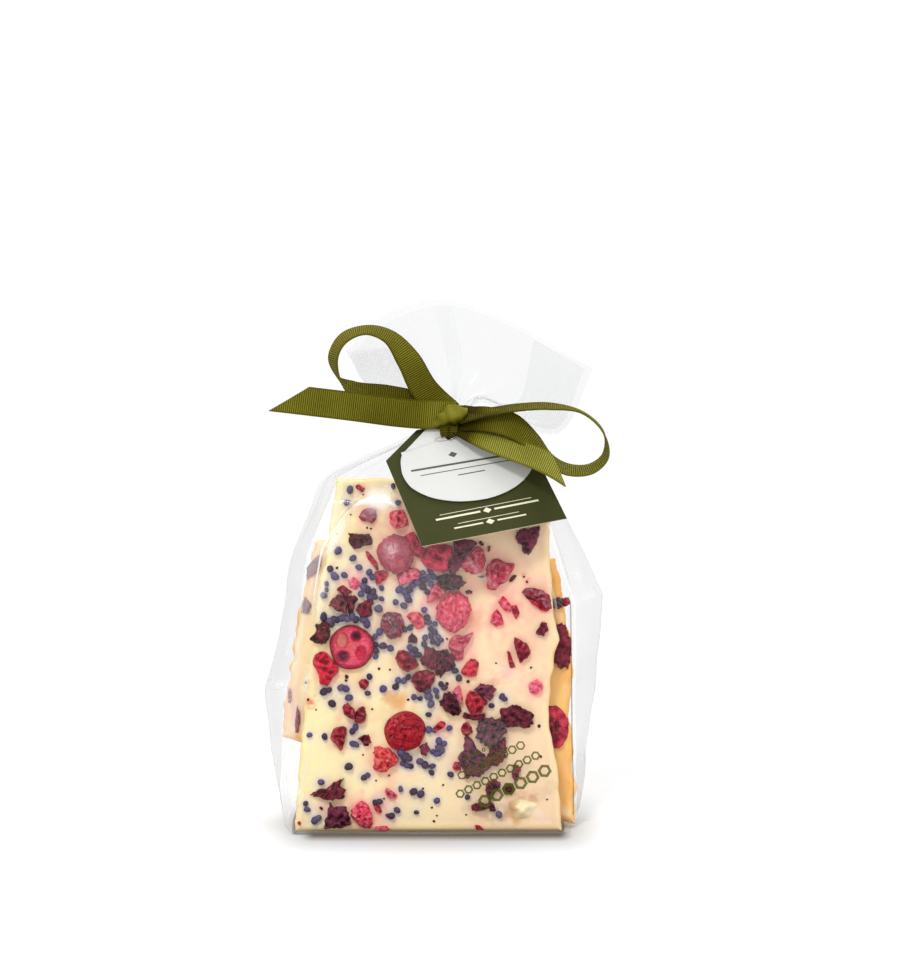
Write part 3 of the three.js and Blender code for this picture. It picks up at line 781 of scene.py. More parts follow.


# creases whose white haze is painted highlight as well as whitened film, as [width, strength, x, z, x, z,
# ...] along each
highlightCreases = [
    [2.5, 0.95, -11.6, 110.4, -15.2, 112.6, -19.5, 113.2, -23.5, 112.6, -27.2, 110.5],
    [0.9, 0.75, -26.4, 111.0, -29.5, 108.1, -32.5, 104.1, -35.2, 100.4, -37.2, 96.7, -38.3, 91.3, -39.6, 83.2,
     -40.9, 74],
    [0.8, 0.25, -20, 115.5, -27, 112.5, -31.5, 107.5, -34.5, 102.5],
    [1.4, 0.2, 37.0, 88.5, 40, 82, 41.5, 74],
    [1.6, 0.2, -41, 30, -43.5, 20, -44.5, 11], [2.4, 0.1, 10, 96, 16, 88, 24, 83],
]


def makeCreases():
    # painted highlights as strips on the film that fade to nothing at their edges and ends: strength (1 -
    # v^2) sin(pi u)
    parts = []
    for width, strength, *places in highlightCreases:
        route = np.array(places, float).reshape(-1, 2)
        toRun, length = evenRun(route)
        u, v = np.meshgrid(np.linspace(0, 1, max(12, int(length))), np.linspace(-1, 1, 7), indexing="ij")
        line = curvePoint(route, toRun(u[:, 0]))
        run = unit(np.gradient(line, axis=0))
        aside = np.stack([-run[:, 1], run[:, 0]], -1)
        taper = np.sin(np.pi * (0.04 + 0.92 * u[:, :1])) ** 0.6
        flat = line[:, None] + aside[:, None] * (v * taper * width / 2)[..., None]
        lift = 0.1 + 0.12 * (1 - v**2) * min(width, 1.5)
        points = onFront(flat[..., 0].ravel(), flat[..., 1].ravel(), lift.ravel())
        marks = hazeMarks(strength * (1 - v**2) ** 1.2 * np.sin(np.pi * u) ** 0.5)
        parts.append((points, gridFaces(np.arange(u.size).reshape(u.shape)), noTriangles, marks))
    # a thin dark line of painted shade where the front turns into the right side
    z = np.linspace(7, 80, 90)
    corner = bodyPoint(np.full(len(z), 1 / 3), z)[:, 0]
    flat = np.stack([corner - 1.1, corner - 0.95, corner - 0.8], 1)
    points = onFront(flat.ravel(), np.repeat(z, 3), 0.15)
    number = np.arange(flat.size).reshape(flat.shape)
    edge = makePiece("film_front_fold", points, gridFaces(number), finish=shadeEdgeMaterial, closed=False)
    points, quads, _, marks = joined(parts)
    made = makePiece("film_crease_highlights", points, quads, finish=filmMaterial, closed=False, marks=marks, crease=80)


makeCreases()
print("film bag made:", filmGrid.shape[0], "rows of", filmGrid.shape[1])


# slabs of bark
# tracks are [height along the slab, distance from its middle]; top and bottom are heights, left to right
slabs = {
    "front": {
        "origin": (0, -19.0, 1.0), "up": (0, 11.5, 116.0), "thickness": 5.4, "grid": (170, 200),
        "left": [[0, -46.7], [7, -46.4], [17, -45.6], [24, -45.2], [44, -43.3], [71, -40.2], [91, -36.5],
                 [105, -34.4], [118, -32.2]],
        "right": [[0, 43.2], [7, 42.9], [14, 42.6], [22, 41.8], [26, 40.5], [34, 39.5], [43, 38.8],
                  [51, 39.2], [58, 40.7], [64, 42.1], [73.5, 40.2], [82, 40.2], [91, 39.2], [103, 39.3],
                  [112, 38.5]],
        "bottom": (-0.4, -0.3), "top": (118.8, 118.5, 117.2, 113.5, 107.0),
        "seed": 11, "ragged": (0.3, 0.16, 0.1), "bend": 1.3,
    },
    "middle": {
        "origin": (0, -10.2, 1.0), "up": (0, 9.3, 94.0), "thickness": 5.2, "grid": (110, 124),
        "left": [[0, -50.6], [30, -51.0], [43, -50.6], [50, -48.4], [60, -47.2], [70, -45.6], [77, -44.6],
                 [92, -40.4]],
        "right": [[0, 46.6], [6, 48.2], [14, 48.6], [22, 47.2], [30, 46.8], [37, 45.6], [45, 46.8],
                  [52, 47.3], [58, 46.9], [66, 46.6], [72, 44.6], [80, 43.9], [88, 41.6], [96, 39.5]],
        "bottom": (30.0, 0.2), "top": (96.0, 90.5), "seed": 23, "ragged": (0.55, 0.4, 0.12), "bend": 3.0,
    },
    "rear": {
        "origin": (0, 17.6, 1.0), "up": (0, -8.6, 104.0), "thickness": 5.4, "grid": (110, 124), "facing": 1,
        "left": [[0, -43.5], [30, -42.2], [60, -43.6], [85, -38.4], [106, -33.5]],
        "right": [[0, 43.8], [25, 44.6], [50, 42.6], [80, 41.0], [104, 36.6]],
        "bottom": (-0.4, -0.4), "top": (102.5, 98.0), "seed": 37, "ragged": (0.5, 0.3, 0.1), "bend": 1.6,
    },
}
# soft colour that has bled into the front slab: middle x, height, radius, colour, strength
stains = [
    (-25.8, 84.5, 3.6, (240, 150, 165), 0.55), (0.5, 79, 4.0, (240, 140, 150), 0.4),
    (12, 69, 5.5, (244, 160, 150), 0.35), (30, 62, 9, (250, 180, 160), 0.25),
    (-12, 43.5, 3.4, (226, 150, 70), 0.75), (-15, 45, 2.2, (214, 130, 60), 0.6),
    (-17, 40, 3.2, (240, 208, 150), 0.4), (13.5, 70.5, 2.6, (226, 160, 110), 0.5),
    (-44, 48, 3.0, (240, 160, 140), 0.4), (-42.5, 43.5, 2.0, (232, 120, 100), 0.7),
    (-41.5, 43.0, 1.4, (226, 90, 80), 0.7), (-43.2, 49.6, 1.2, (228, 110, 100), 0.7),
    (-18.6, 23.8, 4.5, (250, 190, 160), 0.4), (-22, 6, 5, (248, 180, 165), 0.5),
    (-28, 7.5, 3.6, (246, 160, 150), 0.5), (-36.5, 7.5, 4.2, (248, 190, 180), 0.5),
    (3.5, 34, 2.8, (245, 150, 150), 0.5), (27, 5.6, 3.2, (220, 150, 80), 0.75),
    (29.5, 11.2, 2.2, (226, 150, 110), 0.5), (33.5, 10.8, 1.8, (214, 130, 90), 0.5),
    (9, 47, 6, (246, 200, 160), 0.4), (23, 34, 4, (246, 180, 160), 0.35),
    (24.5, 53, 2.6, (246, 160, 155), 0.5), (20.5, 50.4, 1.8, (240, 150, 150), 0.5),
    (36.5, 80, 7, (250, 200, 170), 0.3), (-28.0, 53.5, 5, (244, 190, 130), 0.35),
    (-33, 56, 4, (240, 150, 140), 0.35), (41.4, 58.6, 1.7, (214, 160, 60), 0.75),
    (-5, 100, 9, (250, 190, 170), 0.25), (-18, 64, 8, (248, 214, 170), 0.3),
    (31.5, 84.5, 1.2, (236, 120, 120), 0.6), (30.2, 86.2, 1.0, (236, 120, 120), 0.6),
    (17, 95, 7, (246, 190, 160), 0.25),
]


def slabFrame(slab):
    # the slab's place: its origin, its unit vector upwards along the face and its unit normal out of the face
    up = unit(np.array(slab["up"], float))
    facing = slab.get("facing", -1)
    return np.array(slab["origin"], float), up, facing * np.array([0, up[2], -up[1]])


def onSlab(slab, x, rise, out):
    # a point on a slab: across, up along the face and out of it
    origin, up, normal = slabFrame(slab)
    x, rise, out = np.broadcast_arrays(np.asarray(x, float), rise, out)
    return origin + x[..., None] * [1, 0, 0] + rise[..., None] * up + out[..., None] * normal


def faceWave(slab, x, rise):
    # the poured face is never quite flat: long swells and shallow ripples, about half a millimetre in all
    at = np.stack(np.broadcast_arrays(x, rise), -1)
    return 0.28 * wander(at, 38, slab["seed"]) + 0.12 * wander(at, 13, slab["seed"] + 1)


def bunched(count, pull=0.5):
    # shares of 0 to 1 that lie closer together at both ends
    even = np.linspace(0, 1, count)
    return (1 - pull) * even + pull * (1 - np.cos(np.pi * even)) / 2


def raggedEdge(at, slab, seed):
    # a broken edge: three waves of about 27, 9 and 3 mm, the size of each in the slab's dictionary
    return sum(size * wander(at[..., None] * [1, 0.6], wave, slab["seed"] + seed + k, 7)
               for k, (size, wave) in enumerate(zip(slab["ragged"], (27, 9, 3))))


def slabMesh(slab):
    # two faces on one grid, with straight or broken edges, rounded over half the thickness at the rim
    columns, rows = slab["grid"]
    u, v = np.meshgrid(bunched(columns, 0.85), bunched(rows, 0.85))
    low, high = (np.interp(u, np.linspace(0, 1, len(slab[name])), slab[name]) for name in ("bottom", "top"))
    rise = low + (high - low) * v
    left, right = onTrack(slab["left"], rise), onTrack(slab["right"], rise)
    left, right = left + raggedEdge(rise, slab, 50), right + raggedEdge(rise, slab, 60)
    x = left + (right - left) * u
    rise = rise + raggedEdge(x, slab, 70) * smoothStep(2 * v - 1)
    half = slab["thickness"] / 2
    edge = np.minimum(np.minimum(u, 1 - u) * (right - left), np.minimum(v, 1 - v) * (high - low))
    bend = slab["bend"]
    full = np.sqrt(np.clip(1 - (1 - np.clip(edge / bend, 0, 1)) ** 2, 0, 1)) ** 0.8
    wave = faceWave(slab, x, rise) * full
    lip = 0.25 * np.exp(-(((edge - 2.0) / 1.2) ** 2))
    front = onSlab(slab, x, rise, -half + (half - 0.02) * full + wave + lip * full)
    back = onSlab(slab, x, rise, -half - (half - 0.02) * full)
    count = rows * columns
    number = np.arange(count).reshape(rows, columns)
    inner = np.zeros((rows, columns), bool)
    inner[1:-1, 1:-1] = True
    behind = number.copy()
    behind[inner] = count + np.arange(inner.sum())
    points = np.concatenate([front.reshape(-1, 3), back[inner]])
    quads = np.concatenate([gridFaces(number), gridFaces(behind)[:, ::-1]])
    rim = np.exp(-(edge / (0.8 * bend)))
    face = np.stack([x, rise, rim], -1)
    flat = np.concatenate([face.reshape(-1, 3), face[inner]])
    isBack = np.concatenate([np.zeros(count), np.ones(inner.sum())])
    return points, quads, flat, isBack


# how far a topping's colour spreads past it, the colour and its strength
halos = {"berry": (2.0, (252, 176, 160), 0.34), "dusty": (2.4, (252, 160, 160), 0.42),
         "plum": (1.5, (244, 206, 176), 0.3), "pearl": (1.3, (226, 222, 226), 0.4)}
fruitKinds = ("berry", "dusty", "plum")


def haloSpots():
    # every topping on the front slab lets a little of its colour into the chocolate round it
    spots = []
    for kind in fruitKinds:
        reachOut, shade, amount = halos[kind]
        for entry in toppings[kind]:
            ring = np.array(entry[2:], float).reshape(-1, 2)
            x, rise = ring.mean(0)
            spots.append((x, rise, np.linalg.norm(ring - [x, rise], axis=1).mean() + reachOut, shade, amount))
    reachOut, shade, amount = halos["pearl"]
    return spots + [(x, rise, size / 2 + reachOut, shade, amount) for x, rise, size in pearls]


def stainMarks(flat, isBack, spots):
    # the bled colours as one colour and a strength: soft rounds laid over each other, with uneven edges
    colour = np.tile([0.9, 0.5, 0.4], (len(flat), 1))
    strength = np.zeros(len(flat))
    uneven = [1 + 0.3 * wander(flat[:, :2], size, 900 + size) for size in (2, 4, 8)]
    for x, rise, radius, shade, amount in spots:
        reached = radius * uneven[min(2, int(radius / 3))]
        away = ((flat[:, 0] - x) ** 2 + (flat[:, 1] - rise) ** 2) / reached**2
        share = amount * np.exp(-(away**1.3)) * (1 - isBack)
        total = strength + share * (1 - strength)
        weight = np.where(total > 1e-6, share / np.maximum(total, 1e-6), 0)[:, None]
        colour = laid(colour, shadeOf(shade), weight)
        strength = total
    return np.concatenate([colour, strength[:, None]], 1)


def makeChocolate(name, near, far, edge, edgeShare):
    # white chocolate: cream that warms to peach across the slab, bled colours, amber rims (on the middle slab
    # largely painted shade), fine dimples
    made, tree, shader = newMaterial(
        "white_chocolate_" + name, Roughness=0.42, Specular_IOR_Level=0.25, Subsurface_Weight=0.12,
        Subsurface_Scale=0.004, Coat_Roughness=0.3, IOR=1.46,
    )
    across = separate(tree, addNode(tree, "ShaderNodeTexCoord").outputs["Object"])[0]
    blotches = addMottle(tree, 28.0, 700.0, 0.16, 1.3)
    drift = mathNode(tree, "ADD", mapRange(tree, across, -0.03, 0.045, -0.1, 1.0),
                     mapRange(tree, blotches["Tone"], 0.0, 1.0, -0.25, 0.35), clamp=True)
    cream = mixColour(tree, drift, linearColour(*near), linearColour(*far))
    stain = attribute(tree, "stain")
    bled = mixColour(tree, stain["Alpha"], cream, stain["Color"])
    rim = separate(tree, attribute(tree, "flat")["Vector"])[2]
    rimShare = mathNode(tree, "MULTIPLY", rim, edgeShare, clamp=True)
    whole = mixColour(tree, rimShare, bled, linearColour(*edge))
    tree.links.new(whole, shader.inputs["Base Color"])
    tree.links.new(mapRange(tree, blotches["Tone"], 0.2, 0.8, 0.34, 0.5), shader.inputs["Roughness"])
    addBump(tree, shader, blotches["Height"], 0.25, 0.0003)
    return made


# near, far and rim colours and the rim share; the middle slab's deeper amber to the right and at its rims is
# largely painted shade
chocolateLooks = {
    "front": ((255, 236, 182), (253, 219, 180), (248, 222, 150), 0.7),
    "middle": ((255, 236, 194), (254, 206, 130), (242, 178, 92), 0.95),
    "rear": ((255, 240, 194), (252, 228, 182), (250, 215, 150), 0.6),
}
chocolates = {name: makeChocolate(name, *look) for name, look in chocolateLooks.items()}


# on the middle slab: its pink corner, and at the broken right edge paler amber as painted highlight and
# deeper amber as painted shade
edgeStainsAndShade = [
    (-48.5, 38, 5.5, (244, 206, 200), 0.75), (-49.5, 46, 3.0, (240, 190, 180), 0.6),
    (-46.3, 30.4, 1.6, (224, 160, 90), 0.7), (43.4, 70.7, 3.2, (252, 226, 186), 0.75),
    (46.8, 46, 3.4, (250, 214, 160), 0.6), (42.4, 83, 4, (226, 164, 84), 0.5),
    (42.8, 15.4, 8, (230, 170, 92), 0.4), (46.4, 20, 2.6, (250, 214, 160), 0.5),
    (45.5, 4, 2.6, (250, 232, 200), 0.7), (44.8, 50, 2.2, (226, 150, 70), 0.5),
    (41.5, 90, 3, (250, 220, 176), 0.5), (-40, 88, 5, (236, 214, 190), 0.5),
]


def makeSlabs():
    for name, slab in slabs.items():
        points, quads, flat, isBack = slabMesh(slab)
        spots = {"front": haloSpots() + stains, "middle": edgeStainsAndShade, "rear": []}[name]
        stain = stainMarks(flat, isBack, spots)
        made = makePiece("bark_slab_" + name, points, quads, finish=chocolates[name],
                         marks={"flat": flat, "stain": stain}, crease=60)
        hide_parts("bag")


# toppings
# shades as screen colours; a topping is [shade, height, x, rise, x, rise, ...] round its outline on the slab
shades = {
    "crimson": (186, 10, 38), "scarlet": (224, 20, 52), "ruby": (188, 34, 64), "claret": (144, 14, 38),
    "maroon": (116, 14, 34), "raspberry": (232, 62, 94), "coral": (236, 84, 98), "tomato": (234, 76, 66),
    "rose": (186, 78, 96), "rosewood": (150, 84, 100), "pink": (244, 104, 132), "wine": (122, 30, 50),
    "oxblood": (108, 20, 34), "night": (80, 20, 36), "aubergine": (126, 54, 80), "mauve": (132, 74, 80),
    "slate": (98, 76, 84), "bark": (88, 36, 34),
}
toppings = {
    "berry": [
        ["crimson", 1.6, -26.4, 116.4, -25.1, 116.7, -24.1, 115.9, -23.1, 115.6, -23.4, 114.4, -24.1, 113.9,
         -25.1, 114.7, -26.1, 115.4],
        ["crimson", 2, -23, 94.2, -22.1, 94.2, -20.4, 92.4, -19, 90.4, -18.4, 88, -18.9, 87.5, -20,
         89, -21.4, 90.7, -22.6, 92.4],
        ["ruby", 1.8, -20, 87.3, -18.4, 87.7, -17, 88, -15, 86.5, -16.3, 84.6, -18, 83.3, -19.4,
         82.8, -19.7, 85],
        ["ruby", 3.2, -10.6, 98.1, -9.3, 100.1, -6.3, 100.8, -4.6, 97.4, -2.9, 94.7, -3.6, 91.4, -6.3, 92.7,
         -8.6, 95.4],
        ["maroon", 1.6, -32.6, 81.3, -31.5, 82.5, -30.5, 83, -29.1, 81.9, -27.4, 80.6, -29.5, 78.9, -31.1,
         79.9],
        ["scarlet", 3.4, -40.9, 58.1, -39.2, 59.7, -37, 60.9, -36.2, 60.1, -33.8, 57.7, -32.5, 55.7, -32,
         54, -32.5, 52.3, -33.8, 51.7, -34.9, 50, -36.2, 49, -38.6, 49, -38.6, 51, -38.2, 51.7,
         -39.6, 54.3, -40.6, 56.4],
        ["claret", 3.4, -13, 58.4, -12, 60.7, -10, 61.1, -7.9, 59.7, -5.6, 57.7, -4.9, 55.7, -6.9,
         54.3, -9, 53.5, -11.3, 54.7, -12.3, 56.7],
        ["maroon", 3.2, -7.6, 52, -5.3, 54, -1.9, 54.3, 0.8, 52.7, 0.5, 51, -0.9, 48.3, -4.1, 46.3,
         -5.9, 47.6, -7.3, 50],
        ["claret", 1.6, -25.4, 50, -24.4, 51, -23.1, 51.3, -21.7, 50.3, -22.1, 48.6, -23.1, 47.4, -24.8,
         48.3],
        ["raspberry", 3.6, -3.6, 92.7, -2.6, 95.4, -0.5, 96.4, 3.8, 96.7, 6.5, 96.1, 6.5, 93.4, 4.8, 91.4,
         5.2, 88.3, 4.5, 87, 2.1, 87.3, -1.2, 88, -3.9, 90, -4.6, 91.4],
        ["ruby", 1.8, 26.4, 75.9, 28, 76.2, 29, 73.2, 27.7, 71.2, 26.4, 73.5],
        ["crimson", 1.6, 30, 79.9, 32.4, 78.9, 35.8, 76.9, 39.1, 74.9, 38.8, 73.9, 37.8, 73.6, 35.8, 74.5,
         32.7, 76.9],
        ["scarlet", 2.4, 9.2, 53.7, 10.9, 56.7, 12.9, 58.2, 15.3, 57, 14.9, 54.7, 14.3, 52, 12.2, 51.8,
         9.5, 52.7],
        ["claret", 2.6, 27.2, 65.3, 29.4, 64.4, 31.7, 62.8, 32.7, 60.4, 32.1, 58.7, 29, 56.5, 28.2, 58.7,
         27.7, 60.7, 27, 62.8],
        ["crimson", 1.2, 24.7, 60.7, 25.7, 60.4, 26.7, 57.4, 27.7, 55, 25.7, 54.7, 25.2, 57],
        ["crimson", 3.4, 10.7, 42.9, 11.1, 45.9, 12.2, 47.6, 14.3, 46.3, 16.3, 45.6, 18, 43.9, 17.6, 42.2,
         15.6, 39.5, 13.2, 38.9, 11.6, 40.5],
        ["claret", 1.8, 9.2, 34.1, 9.9, 36.2, 11.2, 36.8, 12.9, 35.1, 13.2, 33.1, 11.2, 31.8, 9.5, 32.5],
        ["ruby", 1.6, 6.2, 21.3, 7.2, 23.4, 8.9, 23, 9.2, 20.3, 7.5, 20],
        ["crimson", 1.2, 13.8, 2.1, 15.6, 1.8, 17, 0.4, 16.3, 0.1, 14.3, 0.4],
        ["scarlet", 1.8, 0.8, 35.8, 2.5, 37.2, 4.2, 36.2, 3.2, 34.5, 1.1, 33.5, -0.2, 33.1, -0.9, 33.8],
        ["claret", 2.8, -30.8, 41.5, -30.1, 42.9, -28.8, 42.9, -26.8, 41.2, -26.1, 39.2, -26.8, 37.5, -28.1,
         37.8, -30.2, 39.2],
        ["maroon", 3, -26.4, 39.9, -24.8, 41.9, -23.1, 41.9, -22.6, 39.2, -23.1, 36.8, -24.8, 36, -26.8,
         36.8],
        ["claret", 3.2, -34.9, 31.1, -33.9, 34.5, -31.5, 35.3, -29.1, 34.8, -29.5, 31.8, -30, 29.4, -31,
         26.7, -32.2, 27.7, -32.8, 29.4, -34.2, 30.1],
        ["ruby", 1.6, -20.4, 8.9, -18.1, 8.5, -17.2, 6.2, -18.1, 5.7, -19.7, 6.8],
        ["claret", 1, -46, 2.8, -45.1, 3.3, -44.5, 2.3, -45.5, 1.8],
    ],
    "dusty": [
        ["rosewood", 2.2, -25.1, 105.5, -24.7, 106.8, -23.1, 108.7, -21.4, 108.9, -19.4, 108.7, -19.2, 106.8,
         -19.4, 104.8, -20.7, 103.3, -22, 104.1, -24.4, 104.3],
        ["pink", 0.7, -28.8, 84.3, -27.1, 85.6, -25.1, 84.3, -24.1, 83, -26.1, 81.3, -28.1, 81.9],
        ["rose", 6, -18.9, 93.4, -18.4, 96.1, -17, 98.1, -15, 99.4, -12.6, 100.1, -10.3, 99.4, -8.6,
         97.8, -7.3, 95.7, -6.4, 93.4, -6.9, 90.7, -8.3, 88.3, -10.3, 86.8, -12.6, 86.5, -15.3, 87.3, -17.3,
         89, -18.5, 91],
        ["coral", 3, -15, 107.2, -13.3, 108, -10.3, 108.3, -8.8, 105.2, -8.3, 103.5, -10, 102.1,
         -12.6, 101.8, -14.7, 103.5],
        ["pink", 2.4, -12.5, 86.3, -10.6, 88.3, -7.3, 88.8, -4.6, 87.7, -4.1, 86, -5.6, 84, -8.6, 83.3,
         -11.6, 82.6],
        ["slate", 3.8, -17.9, 69.8, -17.4, 72.2, -16, 73.7, -14.3, 74, -12.3, 73.5, -10.6, 72.5, -10,
         70.5, -10.1, 67.8, -11.3, 65.5, -13.3, 64.4, -15.3, 65, -17, 67.1],
        ["coral", 2, -9.3, 72.4, -7.6, 73.7, -4.9, 73.9, -3.6, 72.5, -2.6, 69.8, -3.6, 68.1, -5.9, 68.1,
         -7.6, 70.5],
        ["raspberry", 3.4, 8.5, 89.7, 10.2, 92, 12.9, 94.4, 14.6, 96.4, 16.3, 95.7, 17.3, 93.4, 17.6, 90,
         16.3, 87.3, 14.2, 86.2, 12.2, 86.7, 9.9, 88],
        ["raspberry", 3.6, 17.8, 88, 18.6, 89.7, 20.6, 92, 23.3, 91, 24.7, 90, 27.2, 90, 27.2,
         88.3, 25.7, 86.7, 25, 84.3, 22.7, 83, 20.3, 80.8, 18.3, 81.9, 17.6, 82.3, 18.3, 84.6, 17.6,
         86.3],
        ["pink", 2, -2.6, 76.6, -0.9, 81.9, 1.1, 83.6, 3.2, 81.9, 4.2, 80.6, 2.1, 78.2, -0.5, 77.2],
        ["raspberry", 4.6, 0.5, 74.2, 2.1, 77.6, 5.2, 80.3, 8.2, 80.6, 10.9, 79.3, 12.6, 76.6, 12.6, 73.5,
         11.6, 70.8, 9.5, 68.1, 6.9, 66.5, 3.5, 67.8, 1.5, 70.5],
        ["raspberry", 2, 19, 70.2, 19.6, 72.9, 21.3, 74.9, 22.7, 73.2, 23.7, 69.8, 21, 68.7],
        ["raspberry", 2, 21.6, 77.2, 23.3, 79.3, 25, 77.6, 26.4, 75.6, 25.7, 73.9, 23.7, 74.2],
        ["rosewood", 2.8, 29.4, 80.3, 30.4, 81.8, 33.4, 82.1, 36.4, 81.3, 39.1, 79.3, 39.8, 76.2, 39.1, 74.5,
         37.1, 75.7, 34.1, 77.9, 31.1, 79.4],
        ["raspberry", 2.6, 4.5, 62.1, 5.5, 64.1, 6.9, 66.1, 10.2, 65.8, 13.6, 67.1, 12.2, 64.1, 10.6, 61.8,
         9.9, 60.1, 10.2, 57.7, 8.2, 57, 6.5, 58.1, 5.8, 61.1],
        ["pink", 2, 31.7, 48.3, 32.8, 50.3, 35.1, 51, 36.8, 49.6, 36.6, 47.6, 34.8, 45.9, 32.8, 46.6],
        ["pink", 2.6, 6.2, 46.9, 8.2, 49.3, 8.9, 49, 9.9, 44.2, 9.2, 42.6, 7.9, 44.2],
        ["tomato", 3, -20.1, 28.4, -18, 28.6, -14.7, 27.7, -12.7, 25.7, -11.3, 23.4, -13, 22, -14.7,
         21.3, -16, 20, -18.7, 19.6, -20.4, 21, -19.9, 24],
        ["raspberry", 3.4, -28.1, 5.5, -26.5, 8.2, -24.3, 10.5, -22.1, 8.9, -20.7, 6.2, -20.4, 2.8, -21.4,
         0.4, -23.4, 0.8, -26.1, 2.8],
        ["pink", 1.8, -16.4, 12.9, -16, 14.6, -13.7, 13.2, -12, 11.9, -13, 10.5, -15.4, 11.2],
        ["coral", 0.8, -20.1, 1.4, -16, 1.8, -14.4, 0.4, -16.7, -0.3, -19.7, 0.1],
    ],
    "plum": [
        ["bark", 1.8, -28.6, 100.4, -27.1, 100.1, -25.7, 99.9, -24.7, 100.1, -23.4, 99.8, -21.7, 99.9, -21.4,
         99.1, -20.5, 98.1, -20.9, 96.6, -22.1, 96.2, -23.7, 95.9, -25.1, 95.1, -26.8, 94.6, -27.8, 96.1,
         -28.8, 97.8, -28.3, 99.1],
        ["mauve", 2.4, -35.2, 75.9, -34.2, 78.2, -32.1, 79.6, -30.5, 79.3, -29.1, 76.2, -29.5, 73.2, -31.5,
         73.9, -33.5, 75],
        ["night", 2, -30.5, 79.3, -28.8, 79.6, -26.1, 79.3, -25.4, 77.9, -26.4, 76.9, -27.1, 73.5, -28.5,
         72.5, -29.1, 76.2],
        ["wine", 2.2, -26.3, 74.5, -25.1, 76.2, -23.4, 77.6, -20.7, 78.2, -20.2, 76.6, -20.9, 75.2, -20.5,
         73.5, -21.7, 72.2, -24.8, 72],
        ["bark", 2.4, -41.7, 64.8, -39.9, 66.8, -39.4, 67.8, -40.1, 69.5, -38.2, 69.8, -36.9, 70.8, -35.2,
         70.2, -34.8, 67.8, -34.8, 65.5, -36.2, 63.8, -37.7, 62.4, -39.9, 63.4, -41.6, 64.1],
        ["wine", 2.4, -4.6, 57.7, -2.9, 61.4, -0.2, 61.8, 2.1, 59.7, 2.5, 55, 0.8, 53.7, -1.9, 55, -4.2,
         56],
        ["aubergine", 2.4, 6.5, 97.8, 9.9, 98.3, 12.9, 97.8, 14.6, 96.7, 12.9, 94.7, 11.2, 93.4, 9.9, 90.7,
         8.9, 88.7, 6.9, 86, 4.8, 88, 5.5, 91.4, 6.9, 93.4],
        ["aubergine", 1.8, 27.4, 98.8, 28.4, 100.8, 30.7, 101.8, 35.4, 102.8, 35.9, 101.5, 35.4, 99.4, 34.4,
         97.1, 33.4, 94.4, 31.9, 92.9, 30.4, 93.7, 29.4, 96.4],
        ["slate", 2.6, 0.8, 85.3, 3.8, 86.7, 6.5, 86.3, 8.9, 86, 10.6, 83.6, 9.5, 81.9, 6.5, 80.9, 3.8,
         81.3, 2.1, 82.6],
        ["wine", 1.8, 34.1, 66.5, 35.1, 68.1, 36.4, 70.2, 38.1, 70, 38.5, 67.5, 37.1, 65.8, 34.8, 66.1],
        ["night", 2.6, -0.2, 61.8, 1.1, 60.7, 4.2, 61.1, 6.5, 59.7, 6.5, 58.1, 6.9, 55.7, 5.5, 53.7, 3.5,
         52.7, 0.8, 52, 0.5, 55, 0.5, 58.7],
        ["night", 3, 2.1, 42.6, 3.5, 46.3, 5.2, 46.9, 6.5, 46.3, 8.2, 43.6, 9.5, 40.5, 8.5, 38.9, 6.5,
         38.9, 3.8, 40.5],
        ["aubergine", 2.4, 13.7, 47.6, 15.6, 49.8, 17.3, 49.3, 20, 49.3, 21, 47.6, 20.3, 45.9, 19,
         43.9, 17.6, 44.6, 15.6, 45.9],
        ["wine", 1.8, 9.2, 38.5, 10.6, 39.9, 13.2, 38.9, 16.9, 39.5, 17.6, 38.2, 16.3, 37.2, 13.6, 37.2,
         10.6, 37.8],
        ["wine", 3, 22.3, 39.5, 23.3, 41.2, 25.7, 42.4, 29.1, 41.9, 31.7, 40.9, 33.8, 38.5, 33.4, 35.8,
         31.1, 34.5, 27.7, 35.1, 24.3, 34.8, 23.3, 36.8],
        ["slate", 3, 14.6, 36.8, 19, 38.2, 22.3, 37.8, 24.3, 36.2, 24.3, 33.1, 22.3, 30.8, 21.3, 28.7,
         18.6, 28.4, 16.3, 29.4, 14.3, 32.1],
        ["aubergine", 2.8, 10.2, 31.4, 11.6, 31.8, 13.2, 30.8, 14.3, 27.7, 15.6, 26.7, 17.3, 25.7, 18.3,
         24, 19, 22.3, 16.9, 19.3, 14.3, 18, 10.9, 18, 9.9, 20.7, 8.9, 22.7, 8.5, 25.4, 9.9, 26.4],
        ["wine", 2.6, 21.7, 30.4, 24.3, 31.4, 24.7, 28.7, 24.7, 26.4, 23.3, 23.4, 21.3, 22, 18.3, 21.7,
         16.9, 23.4, 18, 25.7, 19.6, 28.7],
        ["wine", 1.8, 26.4, 20.7, 27, 22.3, 28.7, 22.3, 29.4, 20.7, 28.7, 18.6, 27.4, 16.6, 26.4, 18],
        ["wine", 2.2, 17.3, 15.3, 19, 16.6, 20.3, 17.6, 22.3, 16.6, 22.3, 14.6, 21, 13.2, 19.6, 11.2,
         19, 10.2, 18, 11.6],
        ["night", 1.8, 23.3, 14.6, 24.7, 15.9, 26.7, 15.9, 27.4, 13.9, 25.7, 12.2, 23.7, 12.6],
        ["wine", 2.2, 12.4, 6.8, 13.2, 8.9, 15.6, 9.7, 18.3, 9.2, 19, 7.8, 17, 6.8, 14.3, 6.5],
        ["night", 1.6, 18.6, 10.2, 20.3, 8.9, 21, 6.8, 19, 6.5, 18.3, 8.2],
        ["wine", 2.2, -25.8, 31.3, -23.4, 32.3, -21.7, 32.5, -21.1, 29.8, -22.1, 28.6, -23.4, 28.7, -24.4,
         30.4],
        ["oxblood", 2.4, -41.1, 12.2, -38.6, 14.2, -36.2, 14.2, -33.5, 16.6, -30.5, 17.5, -31.5, 15.6, -29.5,
